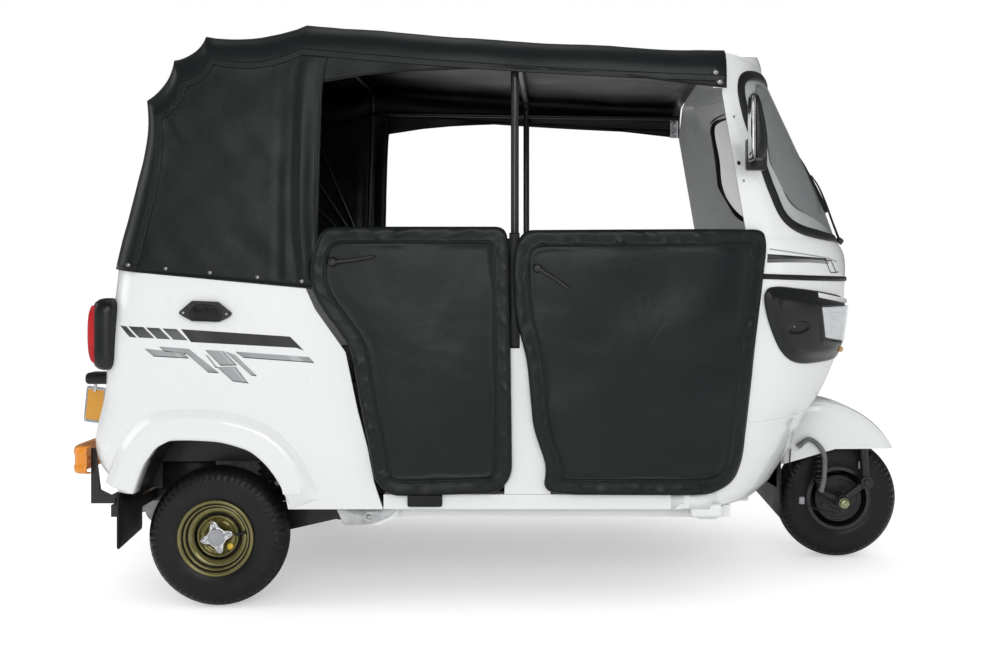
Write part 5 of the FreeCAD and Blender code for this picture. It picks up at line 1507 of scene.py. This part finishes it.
def on_plate(depth, across, up):
    """Depth, across and up moved onto the number plate, which is tipped and turned to the corner."""
    out = depth * math.cos(PLATE_TIP) + up * math.sin(PLATE_TIP)
    high = up * math.cos(PLATE_TIP) - depth * math.sin(PLATE_TIP)
    x = out * math.cos(PLATE_TURN) - across * math.sin(PLATE_TURN)
    return PLATE_CENTRE + xyz(x, out * math.sin(PLATE_TURN) + across * math.cos(PLATE_TURN), high)


def plate_slab(half, near, far):
    """Flat square slab on the plate's axes, from one depth to another."""
    across, up = np.meshgrid(np.linspace(-half, half, 12), np.linspace(-half, half, 12), indexing="ij")
    return slab(on_plate(near, across, up), on_plate(far, across, up))


def make_number_plate():
    """Blank number plate with a bright border, its holder, and the lamp's stay."""
    joined("number_plate_face", [plate_slab(PLATE_HALF, -2, 2)], "plate_yellow", replaces=("number_plate",))
    axis = on_plate(1.0, 0, 0) - PLATE_CENTRE
    line = on_plate(-2.2, *rounded_outline(rectangle(51, 51), 8, 120).T)
    arm = evenly([PLATE_CENTRE + 6 * axis, PLATE_CENTRE + (62, 0, 15)], 8)
    stay = evenly([PLATE_CENTRE + (0, 0, 40), PLATE_CENTRE + (0, 0, 71)], 8)
    parts = [plate_slab(50, 2, 6), carried(strip(9, 1.6, lift=-0.8), line, axis, closed=True),
             carried(circle(6, 14), arm), carried(circle(5, 14), stay, (1, 0, 0))]
    joined("number_plate_border", parts, "polished_alloy", slot="grey_castings")


# Body trim

BUMPER_PLAN = [
    (-1262, -600), (-1300, -590), (-1320, -545), (-1323, -480), (-1323, -240), (-1323, 0), (-1323, 240),
    (-1323, 480), (-1320, 545), (-1300, 590), (-1262, 600),
]
BUMPER_SECTION = [
    (26, 41), (13, 41), (5, 38.5), (1, 32), (0, 22), (3, 14), (3, -14), (0, -22), (1, -32), (5, -38.5),
    (13, -41), (26, -41),
]
BUMPER_Z = 433


def make_bumper():
    """Rear bumper: a rolled channel with a shallow groove, carried round the bumper's plan."""
    plan = smooth_path(BUMPER_PLAN, 120)
    tangent = unit(np.gradient(plan, axis=0))
    inward = np.stack([tangent[:, 1], -tangent[:, 0]], axis=1)[:, None]
    section = evenly(BUMPER_SECTION, 28)
    flat = plan[:, None] + inward * section[None, :, :1]
    points = xyz(flat[..., 0], flat[..., 1], BUMPER_Z + section[:, 1])
    out = xyz(-inward[..., 0], -inward[..., 1], 0)
    solid_sheet("rear_bumper_channel", points, 3.5, "orange_paint", out, replaces=("rear_bumper",))


# Foot of the nose from the sill up, with the front wheel well: a round shaft about the leaning steering axis
SILL_Z = 299
FOOT_TOP = 546
AXIS_FOOT_X = 1180.0
AXIS_LEAN = math.radians(20)
WELL_REACH = 212.0


def make_nose_foot():
    """Foot of the nose: half-ellipses in plan from the sill up, with doorways and wheel well left open."""
    angle = np.linspace(math.radians(-88), math.radians(88), 200)
    z = np.linspace(SILL_Z, FOOT_TOP, 34)
    nose = np.concatenate([[690, 740, 790], nose_reach(z)])[:, None]
    z = np.concatenate([[SILL_Z] * 3, z])[:, None]
    points = nose_point(angle, z, nose, 0.5)
    x, y, z = np.moveaxis((points[:-1, :-1] + points[1:, 1:]) / 2, -1, 0)
    off_axis = np.hypot((x - AXIS_FOOT_X + z * math.tan(AXIS_LEAN)) * math.cos(AXIS_LEAN), y)
    kept = (inside_distance(x, z, FRONT_DOOR) < 20) & (off_axis > WELL_REACH)
    out = points - (NOSE_START, 0, (SILL_Z + FOOT_TOP) / 2)
    solid_sheet("nose_foot_skin", points, 2.0, "white_enamel", out, kept_faces=kept, slot="white_paint")


def make_body_trim():
    """Rubber tabs under the rear doors, and black strips of painted shade on the centre pillars, in the gap
    between the doors.
    """
    tabs = [block(side, (-299, 628, 306), (-197, 652, 344), 6) for name, side in SIDES]
    joined("door_foot_tabs", tabs, "black_rubber", slot="black_rubber")
    # Painted shade: black strips darken the centre pillars where the two doors meet.
    strips = [block(side, (0, 638, 770), (31, 640.7, 1114), 1.2, 2) for name, side in SIDES]
    joined("pillar_shade_strips", strips, "black_rubber", slot="black_rubber")


# Left halves (y, z) of the windscreen's opening and of its seal
SCREEN_OPENING = [
    (0, 1596), (300, 1594), (440, 1584), (482, 1545), (500, 1440), (519, 1340), (512, 1262), (478, 1200),
    (400, 1158), (270, 1126), (0, 1122),
]
SEAL_COURSE = [
    (0, 1620), (300, 1616), (440, 1607), (518, 1590), (549, 1553), (556, 1484), (552, 1408), (545, 1330),
    (537, 1240), (520, 1166), (478, 1130), (400, 1115), (270, 1106), (0, 1104),
]
SEAL_PROFILE = [(-15, -5), (15, -5), (15, 4), (11, 7.5), (0, 9), (-11, 7.5), (-15, 4)]
LIP_PROFILE = [(-12, -7), (12, -7), (12, -1.5), (-12, -1.5)]


def on_screen(flat, grow=0.0):
    """Points (y, z) set on the windscreen, a half-ellipse in plan grown outward, and its normals."""
    y, z = flat[..., 0], flat[..., 1]
    reach = nose_reach(z, SCREEN_LEVELS) - NOSE_START
    cosine = np.sqrt(1 - (y / BODY_HALF) ** 2)
    out = unit(xyz(cosine / reach, y / BODY_HALF**2, 0.45 * cosine / reach))
    return xyz(NOSE_START + reach * cosine, y, z) + out * grow, out


def screen_loop(half):
    """Closed outline of the windscreen from its left half."""
    half = np.array(half, float)
    return smooth_path(np.vstack([half, half[-2:0:-1] * (-1, 1)]), 320, closed=True)


def screen_band(name, profile, loop, **kept):
    """Rubber profile carried round an outline of the windscreen."""
    line, out = on_screen(loop)
    joined(name, [carried(profile, line, out, closed=True)], "black_rubber", **kept)


def make_windscreen_seal():
    """Curved pane over the opening, its rubber seal outside and the lip round the opening's edge."""
    loop = screen_loop(SEAL_COURSE)
    middle = loop.mean(axis=0)
    rings = np.array([middle + (loop - middle) * share for share in np.linspace(0.01, 1, 10)])
    points, out = on_screen(np.concatenate([rings, rings[:, :1]], axis=1), 3.0)
    solid_sheet("windscreen_pane", points, 4.0, "clear_glass", out, replaces=("windscreen",))
    screen_band("windscreen_rubber_seal", SEAL_PROFILE, loop, replaces=("windscreen_seal",))
    screen_band("windscreen_inner_lip", LIP_PROFILE, screen_loop(SCREEN_OPENING), slot="black_rubber")


VENT_OUTLINE = [(-934, 856), (-848, 852), (-846, 884), (-874, 898), (-912, 899), (-936, 886)]


def make_vent_trim():
    """Frame, slats, bar and screws of both side vents."""
    black, metal = [], []
    for name, side in SIDES:
        out = sideways(side)
        y = side * (BODY_HALF + 12.2)
        loop = rounded_outline(VENT_OUTLINE, 16, 120)
        edge = [(-3, -2), (3, -2), (2.4, 1.6), (0, 2.6), (-2.4, 1.6)]
        black.append(carried(edge, xyz(loop[:, 0], y, loop[:, 1]), out, closed=True))
        for z in (862, 868, 874, 880, 886):
            slat = evenly([(-928, y, z), (-852, y, z - 0.5)], 6)
            black.append(carried(strip(2.6, 3.0, lift=-2.0), slat, out))
        black.append(carried(strip(4, 3.6, lift=-2.0), evenly([(-890, y, 856), (-890, y, 894)], 6), out))
        metal += [button(5.0, 2.4, (x, y, z), out, 18) for x, z in ((-956, 877), (-829, 873))]
    joined("vent_frames", black, "satin_plastic", slot="black_plastic")
    joined("vent_screws", metal, "stud_metal", slot="dark_steel")


def make_flap_brackets():
    """Bright plates with two screws behind the flaps' front corners."""
    parts = []
    for name, side in SIDES:
        parts.append(block(side, (600, HOOD_HALF - 9, 1538), (632, HOOD_HALF - 6, 1612), 1.2))
        parts += [button(5.5, 3.0, (616, side * (HOOD_HALF - 9), z), (0, -side, 0), 16) for z in (1556, 1590)]
    joined("flap_brackets", parts, "polished_alloy", slot="dark_steel")


ARCH_EDGE = [
    (-1102, 346), (-1088, 386), (-1075, 421), (-1056, 458), (-1032, 486), (-1006, 499), (-969, 503),
    (-910, 502), (-848, 497), (-790, 482), (-752, 465), (-718, 436), (-690, 402), (-668, 366),
    (-652, 330), (-641, 300),
]
ARCH_MIDDLE = (-870.0, 300.0)
# Section of the arch's flare: distance from the edge, height over the body
FLARE = np.array([
    (-1, -34), (-1, 13), (0.5, 16.5), (4, 18.6), (12, 19.4), (34, 19.3), (52, 19.0), (62, 18.4), (69, 15),
    (76, 8), (84, 2), (92, -1.5), (92, -4), (10, -4), (5, -34),
], float)


def make_arch_flares():
    """Rolled flare round each rear wheel arch: its section carried along the arch's smooth edge."""
    line = smooth_path(ARCH_EDGE, 180)
    out = unit(np.stack([-np.gradient(line[:, 1]), np.gradient(line[:, 0])], axis=1))
    out *= np.sign(np.sum(out * (line - ARCH_MIDDLE), axis=1, keepdims=True))
    flat = line[:, None] + out[:, None] * FLARE[None, :, :1]
    fade = np.where(line[:, :1] > -800, np.clip((line[:, 1:] - 298) / 46, 0.06, 1), 1.0)
    height = FLARE[:, 1] * np.where(FLARE[:, 1] > 0, fade, 1)
    for name, side in SIDES:
        points = xyz(flat[..., 0], side * (BODY_HALF + height), flat[..., 1])
        joined("arch_flare_" + name, [capped(points)], "white_paint", slot="white_paint")


def hung_slab(outline, x, thickness):
    """Upright sheet from an outline (y, z) with a chamfered edge, from x forward by its thickness."""
    loop = rounded_outline(outline, 9, 160)
    centre = loop.mean(axis=0)
    rings = np.array([centre + (loop - centre) * share for share in (0.02, 0.5, 0.985, 1.0)])
    y, z = rings[..., 0], rings[..., 1]
    edge = np.array([0, 0, 0, 1.2])[:, None]
    return capped(np.concatenate([xyz(x + edge, y, z), xyz(x + thickness - edge, y, z)[::-1]]))


FRONT_FLAP = [
    (-250, 186), (250, 186), (250, 380), (212, 380), (208, 276), (-208, 276), (-212, 380), (-250, 380),
]
REAR_FLAP = np.array([(450, 198), (640, 178), (640, 344), (450, 344)])


def make_mud_flaps():
    """Rubber flaps with rounded corners, their screws, and a blank tag on the right one."""
    flaps = [hung_slab(REAR_FLAP * (side, 1), -1155.7, 6) for name, side in SIDES]
    flaps.append(hung_slab(FRONT_FLAP, 872, 6))
    joined("rubber_mud_flaps", flaps, "black_rubber", replaces=("mud_flaps",))
    screws = [button(5, 3, (-1156, side * y, 330), (-1, 0, 0), 16)
              for name, side in SIDES for y in (480, 540, 600)]
    joined("mud_flap_screws", screws, "stud_metal", slot="dark_steel")
    tag = hung_slab([(-584, 196), (-572, 195), (-572, 222), (-584, 223)], -1156.6, 0.8)
    joined("mud_flap_tag", [tag], "cap_grey", slot="black_rubber")


def side_plate(corners, outer, inner, side):
    """Flat plate between four corners (x, z) and two distances from the middle."""
    x, z = np.moveaxis(np.array(corners, float).reshape(2, 2, 2), -1, 0)
    return slab(xyz(x, side * outer, z), xyz(x, side * inner, z))


TOW_OUTLINE = [(-518, 293), (-494, 242), (-408, 245), (-357, 267), (-326, 294)]
TOW_HOLE = np.array((-420, 268))


def tow_bracket(side):
    """Pale bracket face under the sill: rings from its rolled hole out to its outline and round behind."""
    loop = rounded_outline(TOW_OUTLINE, 12, 96)
    loop = np.roll(loop, -np.argmin(np.linalg.norm(loop - (TOW_HOLE + (60, 0)), axis=1)), axis=0)
    rolled = ((8.3, 600.2), (8.3, 603.4), (13.3, 603.8), (14.3, 602.6))
    rings = [(TOW_HOLE + circle(radius, 96), y) for radius, y in rolled]
    rings += [(loop * 0.97 + loop.mean(axis=0) * 0.03, 602.6), (loop, 601.8), (loop, 600.2)]
    return looped(np.array([xyz(flat[:, 0], side * y, flat[:, 1]) for flat, y in rings]))


def make_sill_trim():
    """White closing pieces between sill and nose, jack pads, inner splash plates and pale side brackets."""
    sill = [(476, 298), (590, 298), (476, 343), (610, 343)]
    splash = [(-1092, 318), (-925, 318), (-1092, 440), (-925, 440)]
    makers = {
        "sill_closing_plates": ("white_paint", lambda side: side_plate(sill, 638.2, 632, side)),
        "jack_pads": ("white_paint", lambda side: block(side, (534, 560, 270), (628, 636, 312), 10)),
        "inner_splash_plates": ("black_rubber", lambda side: side_plate(splash, 444, 441, side)),
        "tow_bracket_faces": ("cast_pale", tow_bracket),
    }
    for name, (material, make) in makers.items():
        slot = "grey_castings" if material == "cast_pale" else material
        joined(name, [make(side) for hand, side in SIDES], material, slot=slot)


def make_plate_lamp():
    """Black cover of the number plate's lamp."""
    cover = block(1, (-1306, -511, 651.2), (-1214, -439, 687), 11)
    joined("plate_lamp_cover", [cover], "satin_plastic", slot="black_plastic")


# Seats: foot x, half width, height, depth, back's top, lean in degrees
SEATS = {
    "passenger": (-1040, 580, 610.3, 500, 990, 8),
    "driver": (190, 230, 590.3, 330, 1120, 6),
}
PAD_POWER = 5.0
PLEATS = 6
PLEAT_DEPTH = 5.0
SWELL_FRAMES = 16
MOST_SWELL = 0.005


def pad_points(low, high, across=44, along=64):
    """Closed pad as a grid: |x/a|^5 + |y/b|^5 + |z/c|^5 = 1, from pole to pole along its width."""
    low, high = np.asarray(low, float), np.asarray(high, float)
    theta = np.linspace(0.02, math.pi - 0.02, along)[:, None]
    phi = np.linspace(0, 2 * math.pi, across, endpoint=False)[None, :]
    direction = xyz(np.sin(theta) * np.cos(phi), np.cos(theta), np.sin(theta) * np.sin(phi))
    reach = np.sum(np.abs(direction) ** PAD_POWER, axis=-1, keepdims=True) ** (-1 / PAD_POWER)
    return (low + high) / 2 + direction * reach * (high - low) / 2


def leaned(points, pivot, degrees):
    """Points turned about the crosswise line through a pivot (x, z), leaning back."""
    cosine, sine = math.cos(math.radians(degrees)), math.sin(math.radians(degrees))
    x, z = points[..., 0] - pivot[0], points[..., 2] - pivot[1]
    return xyz(x * cosine - z * sine + pivot[0], points[..., 1], x * sine + z * cosine + pivot[1])


def inflate(piece):
    """Short cloth simulation that fills the pad with a little pressure, then keeps the shape."""
    cloth = piece.modifiers.new("cloth", "CLOTH")
    settings = {"quality": 6, "mass": 0.4, "tension_stiffness": 40, "compression_stiffness": 40,
                "bending_stiffness": 4, "use_pressure": True, "uniform_pressure_force": 2.0}
    for label, value in settings.items():
        setattr(cloth.settings, label, value)
    cloth.settings.effector_weights.gravity = 0
    cloth.point_cache.frame_start = 1
    cloth.point_cache.frame_end = SWELL_FRAMES
    start = np.empty(len(piece.data.vertices) * 3)
    piece.data.vertices.foreach_get("co", start)
    scene = bpy.context.scene
    for step in range(1, SWELL_FRAMES + 1):
        scene.frame_set(step)
    filled = np.empty_like(start)
    piece.evaluated_get(bpy.context.evaluated_depsgraph_get()).data.vertices.foreach_get("co", filled)
    piece.modifiers.remove(cloth)
    scene.frame_set(1)
    change = (filled - start).reshape(-1, 3)
    change *= np.minimum(1, MOST_SWELL / np.maximum(np.linalg.norm(change, axis=1, keepdims=True), 1e-9))
    piece.data.vertices.foreach_set("co", (start.reshape(-1, 3) + change).reshape(-1))
    piece.data.update()


def pleated(points, half, axis):
    """Pad with pleats pressed into its upper or front face, which looks along the axis."""
    share = (points - points.mean(axis=(0, 1))) / np.ptp(points, axis=(0, 1)) * 2
    pleat = np.abs(np.sin(points[..., 1] / (half * 2) * math.pi * PLEATS)) ** 0.5
    middle = np.clip(1 - share[..., 0] ** 2, 0, 1) if axis == 2 else 1
    moved = points.copy()
    moved[..., axis] -= (PLEAT_DEPTH * (1 - pleat) * middle + 1.2) * np.clip(share[..., axis], 0, 1)
    return capped(moved)


def make_seat(name):
    """Cushion and backrest with pleats, and the cushion's welt."""
    x, half, height, depth, back_top, lean = SEATS[name]
    cushion = pad_points((x + 1, -half, height + 0.5), (x + depth, half, height + 90))
    back = pad_points((x - 69.5, -half, height + 20), (x - 0.5, half, back_top))
    parts = [pleated(cushion, half, 2), pleated(leaned(back, (x, height + 45), lean), half, 0)]
    pads = joined(name + "_seat_pads", parts, "seat_vinyl", replaces=(name + "_seat",))
    inflate(pads)
    smooth = pads.modifiers.new("smooth", "SUBSURF")
    smooth.levels = smooth.render_levels = 1
    loop = rounded_outline(rectangle(depth / 2 - 13, half - 12, x + depth / 2 + 1), 40, 200)
    welt = carried(circle(4.0, 10), xyz(loop[:, 0], loop[:, 1], height + 84.0), closed=True)
    joined(name + "_seat_welt", [welt], "seat_vinyl", slot="seat_vinyl")


make_camera()
make_studio()
dress_nodes()
make_hood()
make_window_border()
for hand, side in SIDES:
    make_door("front", FRONT_DOOR, 31, hand, side)
    make_door("rear", REAR_DOOR, 41, hand, side)
make_side_stripes()
make_nose_stripes()
make_rubbing_strip()
for hand, side in SIDES:
    make_rear_wheel(hand, side)
make_front_wheel()
make_front_spring()
make_front_hose()
make_headlamps()
make_tail_lamps()
for hand, side in SIDES:
    make_mirror_glass(hand, side)
make_wiper()
make_screen_trim()
make_number_plate()
make_body_trim()
make_arch_flares()
make_nose_foot()
make_windscreen_seal()
make_mirror_heads()
make_vent_trim()
make_flap_brackets()
make_bumper()
make_mud_flaps()
make_sill_trim()
make_plate_lamp()
for name in SEATS:
    make_seat(name)
